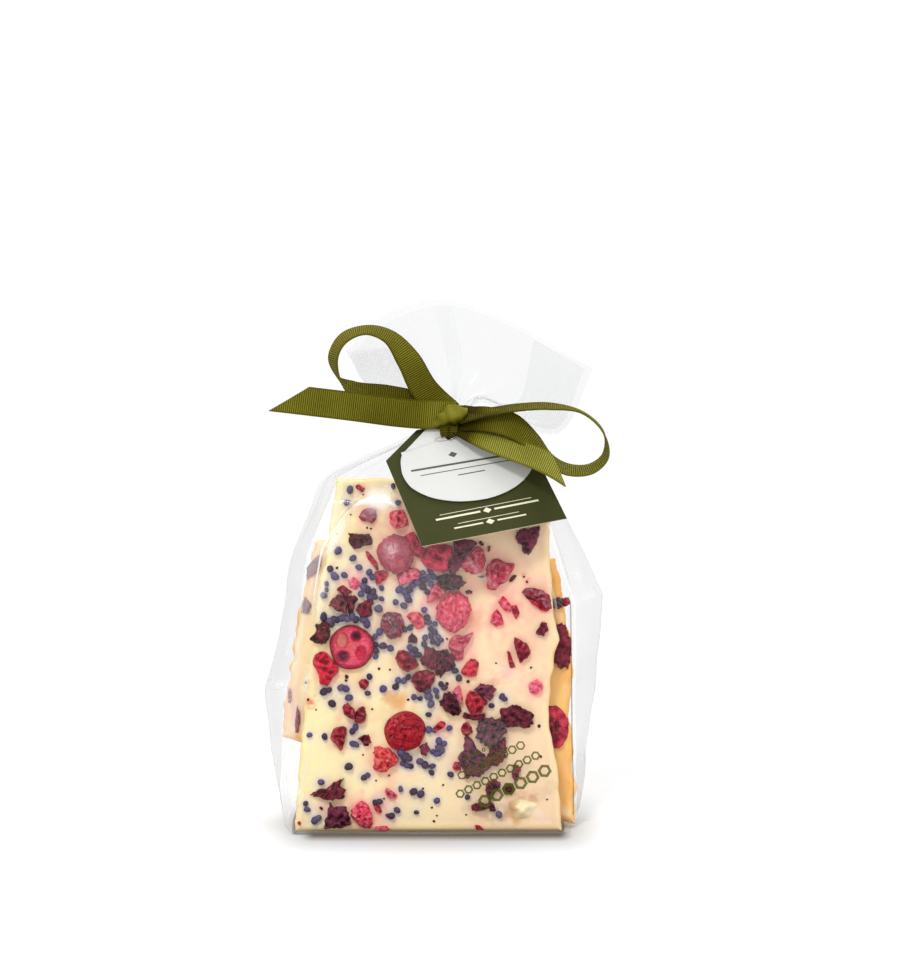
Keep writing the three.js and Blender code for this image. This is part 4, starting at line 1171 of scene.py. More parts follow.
         13.6, -30.5, 10.9, -33.9, 10.4, -36.9, 10.5, -39.3, 11.4],
        ["aubergine", 3, -37.2, 0.8, -35.9, 6.2, -34.9, 9.5, -33.5, 7.8, -31.5, 8.5, -29.5, 7.8, -28.5,
         5.1, -27.8, 3.1, -29.5, 1.1, -33.2, 0.8],
        ["aubergine", 1.8, -4.9, 28.4, -2.2, 29.8, -1.2, 27.4, -2.6, 25, -4.2, 26],
        ["bark", 0.9, 15.1, 97.4, 15.9, 97.8, 16.9, 96.7, 16.6, 95.9, 15.6, 96.4],
        ["bark", 0.8, 18.1, 95.7, 19.1, 95.9, 19, 94.4, 18.3, 93.9],
        ["bark", 1, 25.2, 84.3, 26.7, 86.2, 28, 86, 27, 84.6, 25.8, 83.6],
        ["bark", 0.8, 14.9, 85.6, 16.3, 86.2, 17.4, 85.6, 16.3, 85.1],
        ["bark", 0.8, 10.6, 80.6, 11.9, 81.3, 13.1, 80.6, 12.9, 79.9, 11.2, 79.9],
        ["bark", 0.8, -38.6, 7.8, -37.9, 8.3, -37.2, 7.5, -37.7, 7],
        ["night", 1.2, -8.6, 65.1, -7.3, 66.8, -5.3, 64.8, -5.9, 63.3, -8.6, 63.4],
    ],
}
pearls = [
    [-28.1, 114.9, 2.7], [-29.1, 110.5, 2.5], [-13.6, 116.1, 2], [-12, 110.5, 2.3], [-32.1, 94.4, 3],
    [-27.1, 91.9, 2.5], [-25.1, 88.8, 2.5], [-34.8, 88.3, 2.5], [-33.2, 85.8, 3], [-30, 86.2, 2.5],
    [-36, 83.3, 1.9], [-37, 79.4, 2.6], [-21.7, 87.2, 2.3], [-20.5, 85.6, 2.7], [-23.2, 84.3, 2.5],
    [-23.6, 82.3, 2.7], [-22.1, 81.3, 2.7], [-20.4, 80.6, 2.7], [-24.4, 79.9, 2.5], [-21.4, 78.9, 2.7],
    [-19.7, 78.9, 2.2], [-17.5, 81.8, 2], [-11.6, 81.3, 2.7], [-9.8, 80.6, 2.7], [-8.1, 81.3, 2.7],
    [-7.1, 82.6, 2.3], [-8.9, 79.1, 2.7], [-5.2, 83.6, 2.7], [-3.4, 84.6, 2.7], [-1.7, 85.6, 2.5],
    [-3.7, 82.3, 2.7], [-2.2, 80.6, 2.3], [-5.2, 85.6, 2.3], [-3.6, 87, 2.2], [-1.2, 87.7, 2.2],
    [-6.6, 84.6, 2.3], [0.1, 85.6, 2.3], [-0.9, 83.3, 2.3], [-8.4, 77.9, 2.8], [-10, 75.9, 2.7],
    [-12.8, 77.1, 2.3], [-17.5, 78.2, 2], [-18.5, 74.9, 3], [-36, 81.3, 1.7], [-37, 72.2, 3],
    [-35, 70.8, 2.7], [-33.8, 71.3, 2.7], [-34.3, 69.5, 2.3], [-32.3, 71.2, 2.5], [-30.8, 71.7, 2.7],
    [-29.1, 71.5, 2.7], [-27.4, 72.2, 2.7], [-26.1, 71.2, 2.7], [-23.4, 71.2, 3], [-22.4, 69.7, 3],
    [-23.7, 72.9, 2.3], [-18.2, 67.1, 2.7], [-19.7, 65.5, 2.3], [-21.1, 64.4, 2.3], [-17, 62.4, 2.8],
    [-14.5, 61.6, 2.5], [-19.4, 60.7, 2.3], [-19.5, 58.7, 2], [-19.4, 62.8, 2], [-21.6, 52, 2.3],
    [-17, 47.9, 2.9], [-22.2, 46.4, 2.1], [-31.2, 48.3, 2.7], [-29.5, 47.9, 2.8], [-28.5, 44.9, 2.8],
    [-34.2, 42.9, 2.9], [-37, 46.9, 3], [-35.2, 47.4, 2.3], [-12.8, 48.6, 2.5], [-12, 50.8, 2.3],
    [-10, 50.6, 2.5], [-8.6, 51.8, 2.2], [-7.9, 61.8, 2.5], [-6.4, 61.1, 2.7], [-5.3, 59.4, 2.7],
    [-7.3, 59.4, 2.5], [-9, 59.4, 2.2], [-3.2, 62.9, 2.3], [-2.9, 65.1, 2.3], [-0.9, 65.8, 2.3],
    [0.5, 67.1, 2.2], [1.5, 65.5, 2.2], [-0.2, 63.8, 2.3], [1.5, 63.1, 2], [-1.9, 61.1, 2],
    [2.5, 64.4, 2], [-9.6, 67.8, 2], [-7.9, 68.5, 2.3], [-0.9, 68.1, 2.3], [-2.2, 72, 2.5],
    [-1.6, 70.2, 2.3], [-3.2, 74.5, 2.2], [0.5, 69.8, 2], [-2.2, 47.3, 2.8], [-1.7, 45.3, 3],
    [-0.9, 42.7, 2.7], [-6.6, 45.1, 2.3], [-4.6, 44.6, 1.8], [0.8, 47.3, 2.2], [2.5, 49.5, 2.3],
    [3.7, 48.3, 2.2], [1.1, 45.3, 1.8], [-1.7, 39.2, 2.1], [23, 45.3, 2.3], [24, 44.4, 2],
    [19.5, 42.2, 2], [7.2, 54, 2.5], [8.5, 51.5, 2.5], [6.5, 56, 2], [-41.8, 32.3, 2.1],
    [-36.7, 31.8, 2.4], [-27.3, 33.6, 2.5], [-26.3, 35, 2.5], [-27.1, 29.4, 2.5], [-26, 29.1, 2.1],
    [-28.6, 21.7, 3], [-37.9, 16.4, 2.5], [-23.4, 18, 2.5], [-22.1, 18.8, 2], [-43.1, 9.2, 2],
    [-42.6, 7.2, 2.3], [-40.1, 3.5, 2.7], [-38.9, 4.3, 2.5], [-19.7, 9.5, 2.3], [-18.2, 9.9, 2.5],
    [-11.1, 14.1, 2.1], [-6.8, 13.2, 2.8], [-4.3, 12.4, 2.9], [1.1, 10.2, 2.4], [-12.3, 7, 2.5],
    [-14.2, 5, 2.7], [-15.4, 5.1, 1.7], [-5.8, 6.2, 1.8], [-1.6, 34.1, 2.7], [0.1, 33.8, 2],
    [5.3, 34.6, 2.3], [1.8, 30.3, 2.7], [3.5, 29.4, 2.3], [1.8, 28.1, 2.7], [1.3, 26, 2.7],
    [2.8, 27.1, 2.5], [-0.2, 26.7, 2], [-11, 26.4, 3], [-9.6, 25, 3.2], [-8.3, 24.4, 2.7],
    [-10.3, 22.7, 2.2], [-9, 22, 2.2], [-7.6, 21.7, 2], [-4.6, 23.4, 2.7], [-2.9, 22.2, 2.9],
    [-0.4, 21.8, 2.3], [-0.7, 19.6, 2.3], [5.7, 19, 2.3], [22, 5.5, 2.5], [11.4, 11.4, 2],
]
specks = [
    [-27.9, 106.5, 0.7], [-32.5, 100.1, 0.7], [-22.4, 102.1, 0.8], [-21.1, 101.8, 0.8], [-32.5, 88.6, 1],
    [-23.7, 113.2, 0.7], [4.5, 49.6, 1.3], [11.6, 50.3, 1.2], [35.5, 35.3, 1.3], [36.1, 25, 1],
    [0.1, 3.2, 1], [-0.6, 7.8, 0.8], [-18.4, 54.6, 1], [-14.7, 54.3, 0.8], [-29.3, 51.9, 1.5],
    [-29.5, 50.6, 1], [3.2, 15.4, 0.8], [27.1, 8.8, 0.9], [32.8, 55, 0.8], [21, 56.5, 0.7],
    [-20.7, 41, 0.8], [-39.6, 40.8, 0.7], [-5.6, 44.9, 0.8], [-8.6, 44.2, 1], [-15, 18.6, 0.8],
    [-19.4, 16.9, 0.7], [-23.8, 25.6, 0.7], [-20.1, 26.3, 0.7], [1.1, 5.1, 0.7], [-3.6, 14.2, 0.8],
    [-42.3, 44.2, 1], [-43, 49.9, 1], [10.9, 5.4, 0.7], [30.4, 85.6, 0.8], [31.4, 83.9, 0.9],
    [4.5, 64.7, 0.8], [-16.7, 10.8, 0.7], [-34.9, 12.8, 0.7], [-30.9, 6.8, 0.7], [-27.5, 6.8, 0.8],
    [38.2, 10.5, 0.7], [-1.2, 38.8, 0.7],
]
topping = {
    "berry": {"power": 0.72, "rough": 0.2, "grain": 1.3, "around": 44, "rings": 8, "round": 1,
              "ragged": 0.05, "lean": 0.12, "pale": (244, 96, 112), "deep": (104, 0, 18)},
    "dusty": {"power": 0.66, "rough": 0.19, "grain": 1.0, "around": 44, "rings": 9, "round": 1,
              "ragged": 0.06, "lean": 0.12, "pale": (252, 176, 182), "deep": (196, 24, 56)},
    "plum": {"power": 0.42, "rough": 0.24, "grain": 1.1, "around": 50, "rings": 7, "round": 0,
             "ragged": 0.1, "lean": 0.18, "pale": (168, 60, 76), "deep": (52, 8, 18)},
}
# the big frosted berry: the height above which a piece counts as one, its painted highlight colour and its
# painted shade colour
frosted = {"over": 5, "rimeHighlight": (240, 200, 204), "bare": (176, 52, 76)}
buried = -0.9
# what shows of the middle slab's toppings beside the front slab, each with its kind first
middleToppings = [
    ["plum", "wine", 2.4, 41.1, 67.3, 42.7, 69, 44.8, 67.7, 46.5, 62.9, 46.8, 57.8, 45.5, 53.8, 42.8, 53.1,
     40.4, 56.1, 39.4, 61.2],
    ["plum", "slate", 1.8, 39.4, 76.5, 41.7, 77.2, 44.1, 77.2, 44.4, 74.5, 42.4, 73.4, 40, 73.8],
    ["berry", "claret", 1.8, 43.4, 77.2, 45.8, 77.5, 46.1, 75.1, 44.4, 74.1],
    ["berry", "ruby", 2.2, 38.7, 40.6, 41.4, 40.6, 43.8, 39.2, 45.5, 36.1, 45.8, 32.4, 44.8, 29, 42.8,
     26.6, 40.1, 26, 37.4, 27.3, 36, 32.4, 36.7, 37.8],
    ["plum", "claret", 3, 39.7, 36.8, 41.7, 37.2, 43.1, 34.4, 43.1, 31.4, 41.4, 29.4, 39.4, 29.7],
    ["plum", "mauve", 1.6, -38.1, 92.4, -40.9, 90, -42.9, 87.3, -42.9, 83.3, -40.9, 84.6, -38.1, 88],
    ["plum", "mauve", 1.5, -43.6, 77.8, -44.6, 75.1, -44.9, 72.4, -43.6, 71.7, -42.2, 72.1, -41.5, 75.1],
    ["plum", "claret", 1.4, -46.3, 40.6, -45.3, 38.5, -45.3, 35.1, -46, 31.4, -47, 30.4, -47, 35.1],
    ["dusty", "rosewood", 1.2, -49.3, 46.7, -48.3, 46, -48, 43.6, -48.3, 41.6, -49.4, 41.9],
]


makeSlabs()
print("slabs poured")


def evenOutline(pairs, count, rounds):
    # the outline at equal steps along its length, softened by averaging neighbours
    ring = np.array(pairs, float).reshape(-1, 2)
    ring = np.concatenate([ring, ring[:1]])
    run = np.concatenate([[0], np.cumsum(np.linalg.norm(np.diff(ring, axis=0), axis=1))])
    at = np.linspace(0, run[-1], count, endpoint=False)
    even = np.stack([np.interp(at, run, ring[:, k]) for k in range(2)], -1)
    for _ in range(rounds):
        even = (np.roll(even, 1, 0) + 2 * even + np.roll(even, -1, 0)) / 4
    return even


def topMarks(tone):
    # the colour of each ring's points, then the root's and the crown's, as an opaque colour attribute
    tone = tone.reshape(-1, 3)
    tone = np.clip(np.concatenate([tone, tone[:1], tone[-1:]]), 0.001, 1)
    return {"shade": np.concatenate([tone, np.ones((len(tone), 1))], 1)}


def chunkMesh(kind, entry, slab, seed):
    # a broken piece of fruit: rings that run from the buried rim up over a dome, roughened by noise in space
    look = topping[kind]
    shade, height = shadeOf(shades[entry[0]]), entry[1]
    isFrosted = height > frosted["over"]
    outline = evenOutline(entry[2:], look["around"], look["round"])
    centre = outline.mean(0)
    jag = wander(outline, 2.4, seed + 7) * 0.6 + np.abs(wander(outline, 1.1, seed + 8))
    outline = outline + (outline - centre) * (look["ragged"] * (jag - 0.5))[:, None]
    angle = np.linspace(0, np.pi / 2, look["rings"], endpoint=False)
    inner = math.cos(angle[-1]) ** look["power"] * np.array([0.78, 0.56, 0.35, 0.16])
    keep = np.concatenate([[0.94, 1.0], np.cos(angle[1:]) ** look["power"], inner])
    lift = np.concatenate([[buried, 0.0], height * np.sin(angle[1:]) ** 0.8, np.full(len(inner), height)])
    # the rings grow rounder inward, so that no crease runs to the middle
    rounder = evenOutline(outline.ravel(), len(outline), 14)
    blend = np.clip(1.25 * (1 - keep), 0, 1)[:, None, None]
    ring = centre + keep[:, None, None] * (laid(outline, rounder, blend) - centre)
    rng = np.random.default_rng(seed)
    slope = (ring - centre) @ rng.uniform(-look["lean"], look["lean"], 2)
    x, rise = ring[..., 0], ring[..., 1]
    out = faceWave(slab, x, rise) + lift[:, None] + slope * (lift[:, None] > 0) * 0.8
    space = np.stack([x, rise, out], -1)
    size, rough = look["grain"], look["rough"] * min(height, 3.0) * (0.4 if isFrosted else 1)
    ripple = 1 - 2 * np.abs(wander(space, size * 2.4, seed + 1))
    crumb = wander(space, size, seed + 2) * 0.5 + np.abs(wander(space, size * 0.6, seed + 5)) * 0.4
    grown = (np.clip(lift, 0, None)[:, None] / height) ** 0.5
    out = out + (ripple * 0.9 + crumb) * rough * grown
    ring = ring + (ring - centre) * (0.06 * wander(space, size * 1.4, seed + 3) * grown)[..., None]
    rings = onSlab(slab, ring[..., 0], ring[..., 1], out)
    crown, root = onSlab(slab, *centre, out[-1].mean() + 0.02 * height), onSlab(slab, *centre, buried)
    points, quads, triangles = closedRings(rings, root, crown)
    # paler on the ridges and deeper in the pits, in part painted highlight and shade, and each piece a little
    # lighter or darker than the next
    calm = 0.3 if isFrosted else 1.0
    up = np.clip(calm * (0.55 * ripple + 0.45 * wander(space, size * 1.7, seed + 4)), -1, 1)[..., None]
    tone = shade * rng.uniform(0.85, 1.15) + np.clip(up, 0, 1) * 0.6 * (shadeOf(look["pale"]) - shade)
    tone = tone + np.clip(-up, 0, 1) * 0.9 * (shadeOf(look["deep"]) - shade)
    if isFrosted:
        # a painted highlight high on its left, mottled like a rime of sugar, and painted shade as bare red
        # skin low on its right
        side = (rise - centre[1] - x + centre[0]) / 6
        tone = laid(tone, shadeOf(frosted["bare"]), 0.6 * smoothStep(-side * 0.8)[..., None])
        rimeHighlight = np.exp(-((x - centre[0] + 1.6) ** 2 + (rise - centre[1] - 1.9) ** 2) / 4.5)
        rimeHighlight = np.clip(rimeHighlight * (0.75 + 0.6 * wander(space, 0.9, seed + 6)), 0, 1)
        tone = laid(tone, shadeOf(frosted["rimeHighlight"]), rimeHighlight[..., None])
    return points, quads, triangles, topMarks(tone)


def ballMesh(slab, x, rise, size, sunk, seed, tone, rings=7, around=9):
    # a small ball sunk in the slab: a sphere of latitude rings, a little squashed and uneven
    angle = np.linspace(-np.pi / 2, np.pi / 2, rings + 2)[1:-1, None]
    turn = np.linspace(0, 2 * np.pi, around, endpoint=False)
    rng = np.random.default_rng(seed)
    oval, corner = rng.uniform(0, 6.28, 2)
    uneven = 1 + rng.uniform(0.04, 0.16) * np.cos(2 * (turn - oval))
    uneven = uneven + rng.uniform(0, 0.07) * np.cos(3 * (turn - corner))
    wide, tall = size / 2 * rng.uniform(0.9, 1.02, 2)
    level = size / 2 * (1 - 2 * sunk) + faceWave(slab, np.array(x), np.array(rise))
    across = x + wide * np.cos(angle) * np.cos(turn) * uneven
    along = rise + tall * np.cos(angle) * np.sin(turn) * uneven
    out = level + size / 2 * np.sin(angle) + 0 * turn
    ends = [onSlab(slab, x, rise, level + side * size / 2) for side in (-1, 1)]
    points, quads, triangles = closedRings(onSlab(slab, across, along, out), *ends)
    return points, quads, triangles, {"shade": np.tile([*tone, 1.0], (len(points), 1))}


def makeFruit(name, rough, coat, bumpSize, bump, powder):
    # fruit flesh: its own shade from the mesh, darker in the pits as painted shade, paler on the dusty ridges
    made, tree, shader = newMaterial(name, Coat_Roughness=0.15, Coat_Weight=coat, Specular_IOR_Level=0.05,
                                     IOR=1.45)
    blotches = addMottle(tree, 260.0, bumpSize, 0.55, 1.8)
    tone = blotches["Tone"]
    paintedPitShade = mapRange(tree, tone, 0.15, 0.75, 0.42, 0.0)
    deep = mixColour(tree, paintedPitShade, attribute(tree, "shade")["Color"], (0.05, 0.0, 0.01, 1))
    pale = mixColour(tree, mapRange(tree, tone, 0.55, 0.95, 0.0, powder), deep, (0.9, 0.52, 0.55, 1))
    tree.links.new(pale, shader.inputs["Base Color"])
    tree.links.new(mapRange(tree, tone, 0.2, 0.8, rough - 0.08, rough + 0.1), shader.inputs["Roughness"])
    addBump(tree, shader, blotches["Height"], bump, 0.0004)
    return made


# for each kind: roughness, coat, bump scale, bump strength and powder
fruit = {
    "berry": makeFruit("dried_berry", 0.3, 0.2, 900.0, 0.9, 0.06),
    "dusty": makeFruit("freeze_dried_berry", 0.6, 0.04, 1300.0, 0.9, 0.3),
    "plum": makeFruit("plum_flake", 0.5, 0.1, 1500.0, 1.0, 0.12),
    "pearl": makeFruit("sugar_pearl", 0.5, 0.03, 2600.0, 0.3, 0.06),
}
pieceOf = {"berry": ("toppings_dried_berry", "dried_berry"),
           "dusty": ("toppings_freeze_dried", "dried_berry"),
           "plum": ("toppings_plum_flakes", "plum_flake"),
           "pearl": ("toppings_sugar_pearls", "sugar_pearl")}
pearlShades = [(88, 80, 116), (96, 90, 132), (84, 72, 96), (66, 58, 80), (102, 95, 122), (78, 66, 82),
               (90, 84, 124)]


def movedOutline(entry, x, rise, turn, mirror):
    # a topping's outline turned about its middle, mirrored if asked, and set down elsewhere
    ring = np.array(entry[2:], float).reshape(-1, 2)
    ring = ring - ring.mean(0)
    ring[:, 0] *= mirror
    cos, sin = math.cos(turn), math.sin(turn)
    ring = ring @ np.array([[cos, sin], [-sin, cos]]) + [x, rise]
    return [entry[0], entry[1], *ring.ravel().tolist()]


def makeToppings():
    # one piece for each kind: the measured toppings of the front slab and a scatter on the other two
    rng = np.random.default_rng(5)
    parts = {kind: [] for kind in pieceOf}
    front, middle, rear = (slabs[name] for name in ("front", "middle", "rear"))
    for kind in fruitKinds:
        for index, entry in enumerate(toppings[kind]):
            parts[kind].append(chunkMesh(kind, entry, front, 100 + 7 * index))
    for index, (kind, *entry) in enumerate(middleToppings):
        parts[kind].append(chunkMesh(kind, entry, middle, 700 + 5 * index))
    # every other topping again on the rear slab, moved, turned and no higher than 3 mm
    for kind in fruitKinds:
        for index, entry in enumerate(toppings[kind]):
            x, rise = rng.uniform(-36, 36), rng.uniform(7, 92)
            turn, mirror = rng.uniform(0, 6.28), rng.choice([-1, 1])
            if index % 2 == 0:
                moved = movedOutline(entry, x, rise, turn, mirror)
                moved[1] = min(moved[1], 3.0)
                parts[kind].append(chunkMesh(kind, moved, rear, 900 + 7 * index))
    for index, (x, rise, size) in enumerate(pearls):
        tone = shadeOf(pearlShades[rng.integers(len(pearlShades))])
        parts["pearl"].append(ballMesh(front, x, rise, size, 0.22, 40 + index, tone))
        if index % 2:
            spot = rng.normal((2, 50), (17, 26))
            if abs(spot[0]) < 38 and 4 < spot[1] < 95:
                parts["pearl"].append(ballMesh(rear, *spot, size, 0.22, 400 + index, tone))
    for index, (x, rise, size) in enumerate(specks):
        speck = ballMesh(front, x, rise, size * 1.1, 0.5, 640 + index, shadeOf(shades["bark"]), 4, 6)
        parts["plum"].append(speck)
    for kind, (name, slot) in pieceOf.items():
        points, quads, triangles, marks = joined(parts[kind])
        made = makePiece(name, points, quads, triangles, fruit[kind], marks=marks, crease=75)
        print("  ", name, len(parts[kind]), "pieces,", len(quads) * 2 + len(triangles), "triangles")


makeToppings()


# the cut cranberry, with its seed chambers as (x, rise, half width, half height, shade) from its middle
sliceLook = {
    "at": (-27.6, 61.9), "radius": 7.6, "height": 2.6,
    "skin": (150, 18, 44), "rind": (206, 52, 84), "flesh": (236, 84, 108), "core": (232, 120, 96),
    "wall": (190, 26, 62), "rings": 46, "around": 110,
    "chambers": [(-3.2, 2.4, 2.0, 2.5, (226, 132, 118)), (1.6, 3.8, 1.7, 1.7, (70, 6, 26)),
                 (-2.9, -3.0, 2.1, 1.9, (92, 22, 48)), (3.2, -1.9, 1.6, 2.3, (214, 34, 74))],
}


def setOnFront(x, y, out, at):
    # rings laid on the front slab round a place, over a first ring sunk in it; with that place's root point
    front, (cx, cy) = slabs["front"], at
    ground = faceWave(front, x + cx, y + cy)
    sunk = onSlab(front, x[:1] + cx, y[:1] + cy, -0.8 + 0 * x[:1])
    rings = np.concatenate([sunk, onSlab(front, x + cx, y + cy, ground + out)])
    return rings, onSlab(front, cx, cy, -0.8), ground


def makeCranberrySlice():
    # a disc: skin at the rim, a rind ring, flesh with veins, and four hollows where the seeds sat
    turn = np.linspace(0, 2 * np.pi, sliceLook["around"], endpoint=False)
    share = np.linspace(0.012, 1, sliceLook["rings"])[::-1][:, None]
    radius = sliceLook["radius"] * share * (1 + 0.02 * np.sin(3 * turn + 1) + 0.015 * np.sin(5 * turn))
    x, y = radius * np.cos(turn), radius * np.sin(turn)
    edge = np.clip((1 - share) / 0.16, 0, 1)
    out = sliceLook["height"] * (np.sqrt(np.clip(1 - (1 - edge) ** 2, 0, 1)) * 0.92 + 0.08 * edge) + 0 * x
    out = out - 0.5 * np.exp(-(((share - 0.86) / 0.05) ** 2))
    names = ("skin", "rind", "flesh", "core", "wall")
    skin, rind, flesh, core, wall = (shadeOf(sliceLook[name]) for name in names)
    stops = np.array([flesh, flesh, rind, skin, skin])
    colour = np.stack([np.interp(share, [0, 0.70, 0.84, 0.93, 1], stop) for stop in stops.T], -1)
    flat = np.stack([x, y], -1)
    colour = colour * (1 + 0.14 * wander(flat, 1.3, 77) + 0.1 * wander(flat, 0.6, 78))[..., None]
    for cx, cy, wide, tall, shade in sliceLook["chambers"]:
        inside = ((x - cx) / wide) ** 2 + ((y - cy) / tall) ** 2
        hole = np.exp(-(inside**2.2))
        out = out - 1.35 * hole + 0.25 * np.exp(-(((np.sqrt(inside) - 1.15) / 0.16) ** 2))
        rim = np.exp(-(((np.sqrt(inside) - 1.02) / 0.17) ** 2))[..., None]
        colour = laid(laid(colour, shadeOf(shade), hole[..., None]), wall, 0.55 * rim)
    # one seed is left, in the lower left chamber
    out = out + 0.6 * np.exp(-(((x + 2.4) / 0.9) ** 2 + ((y + 3.5) / 0.7) ** 2))
    colour = laid(colour, core, 0.7 * np.exp(-((x**2 + y**2) / 1.6))[..., None])
    rings, root, _ = setOnFront(x, y, out, sliceLook["at"])
    crown = onSlab(slabs["front"], *sliceLook["at"], out[-1].mean())
    points, quads, triangles = closedRings(rings, root, crown)
    made = makePiece("cranberry_slice", points, quads, triangles, fruit["berry"], crease=75,
                     marks=topMarks(np.concatenate([colour[:1], colour])))


# the whole dried cranberry, wrinkled and glossy
# its deep colour is painted shade and its pale colour painted highlight
wholeBerry = {"at": (-9.7, 33.6), "radius": 6.9, "height": 5.4, "rings": 60, "around": 120,
              "shade": (184, 6, 30), "deep": (92, 0, 14), "pale": (240, 132, 132)}


def makeWholeCranberry():
    # a flattened ball with folded skin: creases where soft noise crosses zero, darkened as painted shade, and
    # pale ridges that are painted highlights, most on its upper left
    angle = np.linspace(-0.35, np.pi / 2, wholeBerry["rings"], endpoint=False)[:, None]
    turn = np.linspace(0, 2 * np.pi, wholeBerry["around"], endpoint=False)
    radius = wholeBerry["radius"] * (1 + 0.025 * np.sin(2 * turn + 0.6) + 0.015 * np.sin(5 * turn))
    x, y = radius * np.cos(angle) * np.cos(turn), radius * np.cos(angle) * np.sin(turn)
    z = wholeBerry["height"] * np.sin(angle) + 0 * turn
    space = np.stack([x, y, z * 1.3], -1)
    bent = space + 0.8 * np.stack([wander(space, 5, seed) for seed in (61, 62, 63)], -1)
    crease = np.exp(-((wander(bent, 5.2, 64) / 0.13) ** 2))
    crease = crease + 0.7 * np.exp(-((wander(bent, 2.6, 65) / 0.16) ** 2))
    keep = smoothStep((angle + 0.05) / 0.5)
    high = np.exp(-((x + 2.4) ** 2 + (y - 2.4) ** 2) / 9) + 0.5 * np.exp(-((x - 2.6) ** 2 + (y + 1) ** 2) / 4)
    ridge = np.exp(-((wander(bent, 2.6, 67) / 0.12) ** 2))
    ridge = ridge * np.clip(high * 1.3 + 0.4 * wander(bent, 1.6, 68), 0, 1) * keep
    move = (-0.7 * crease + 0.3 * wander(bent, 4, 66) + 0.35 * ridge) * keep
    outward = unit(np.stack([x, y, z * 1.4], -1))
    x, y, z = (space / [1, 1, 1.3] + outward * move[..., None]).transpose(2, 0, 1)
    front, (cx, cy) = slabs["front"], wholeBerry["at"]
    ground = faceWave(front, np.array(cx), np.array(cy))
    ends = [onSlab(front, cx, cy, z[end].mean() + ground) for end in (0, -1)]
    points, quads, triangles = closedRings(onSlab(front, x + cx, y + cy, z + ground), *ends)
    # painted shade in the creases and low round its foot, painted highlights on the ridges
    share = np.clip(crease, 0, 1)[..., None] * 0.7 + 0.25 * smoothStep((0.25 - angle) / 0.5)[..., None]
    tone = laid(shadeOf(wholeBerry["shade"]), shadeOf(wholeBerry["deep"]), share)
    tone = laid(tone, shadeOf(wholeBerry["pale"]), 0.75 * ridge[..., None])
    made = makePiece("cranberry_whole", points, quads, triangles, fruit["glossy"], crease=80,
                     marks=topMarks(tone))


# a lump under the chocolate, low on the right
lump = {"at": (29.6, 7.4), "half": (4.6, 3.4), "height": 1.9, "rings": 22, "around": 60,
        "stain": (222, 150, 84)}


def makeLump():
    # a low dome h (1 - r^2)^1.1 with soft swells and a wavy rim, coated in chocolate
    turn = np.linspace(0, 2 * np.pi, lump["around"], endpoint=False)
    share = np.linspace(1, 0.02, lump["rings"])[:, None]
    reachOut = share * (1 + 0.12 * np.sin(3 * turn + 0.4) + 0.06 * np.sin(5 * turn))
    x, y = lump["half"][0] * reachOut * np.cos(turn), lump["half"][1] * reachOut * np.sin(turn)
    swell = 1 + 0.3 * wander(np.stack([x, y], -1), 4.5, 88)
    out = lump["height"] * np.clip(1 - share**2, 0, 1) ** 1.1 * swell - 0.06
    rings, root, ground = setOnFront(x, y, out, lump["at"])
    crown = onSlab(slabs["front"], *lump["at"], out[-1].mean() + ground[-1].mean())
    points, quads, triangles = closedRings(rings, root, crown)
    # an amber stain along its left side
    near = np.exp(-(((points[:, 0] - lump["at"][0] + 3.4) / 1.6) ** 2))
    stain = np.concatenate([np.tile(shadeOf(lump["stain"]), (len(points), 1)), (0.6 * near)[:, None]], 1)
    made = makePiece("coated_lump", points, quads, triangles, chocolates["rear"], crease=80,
                     marks={"stain": stain, "flat": np.zeros((len(points), 3))})


fruit["glossy"] = makeFruit("glossy_cranberry", 0.22, 0.25, 650.0, 0.5, 0.0)
makeCranberrySlice()
makeWholeCranberry()
makeLump()
print("toppings set")


# film print
# a plain band of hexagon outlines between bars, slanted over the low right of the front
filmPrint = {
    "middle": (22.3, 21.8), "slant": 27, "lift": 0.14, "clear": 0.86,
    # each row is how far up the slant, how many hexagons, their size, stroke, start and pitch
    "rows": [(9.4, 5, 1.4, 0.42, -8.0, 2.2), (5.0, 8, 3.3, 0.62, -11.8, 3.15),
             (-0.4, 10, 3.3, 0.7, -15.2, 3.15), (-6.4, 6, 4.8, 1.05, -9.0, 4.5)],
    "ink": (84, 92, 4), "deep": (64, 70, 0),
}


def makePrint():
    # each hexagon is a closed band between two hexagons, five cells a side so that it follows the film
    slant = math.radians(filmPrint["slant"])
    corner = np.pi / 6 + np.arange(7) * np.pi / 3
    tips = np.stack([np.cos(corner), np.sin(corner)], -1)
    hexagon = np.concatenate([np.linspace(a, b, 5, endpoint=False) for a, b in zip(tips[:-1], tips[1:])])
    parts = []
    for above, count, size, stroke, start, pitch in filmPrint["rows"]:
        bands = np.stack([hexagon * (size / 2 - inset) for inset in (0, stroke / 2, stroke)])
        number = np.arange(bands[..., 0].size).reshape(bands.shape[:2])
        for index in range(count):
            along, up = start + index * pitch + bands[..., 0], above + bands[..., 1]
            x = filmPrint["middle"][0] + along * math.cos(slant) - up * math.sin(slant)
            z = filmPrint["middle"][1] + along * math.sin(slant) + up * math.cos(slant)
            points = onFront(x.ravel(), z.ravel(), filmPrint["lift"])
            parts.append((points, gridFaces(number, True), noTriangles, {}))
    points, quads, triangles, _ = joined(parts)
    ink, tree, shader = newMaterial("film_print_ink", Roughness=0.5, Specular_IOR_Level=0.2,
                                    Alpha=filmPrint["clear"])
    blotches = addMottle(tree, 500.0, 3000.0, 0.5, 1.0)
    deep, pale = (linearColour(*filmPrint[name]) for name in ("deep", "ink"))
    shade = mixColour(tree, blotches["Tone"], deep, pale)
    tree.links.new(shade, shader.inputs["Base Color"])
    addBump(tree, shader, blotches["Height"], 0.1, 0.0001)
    made = makePiece("film_print", points, quads, triangles, ink, closed=False)


makePrint()
print("print laid on the film")


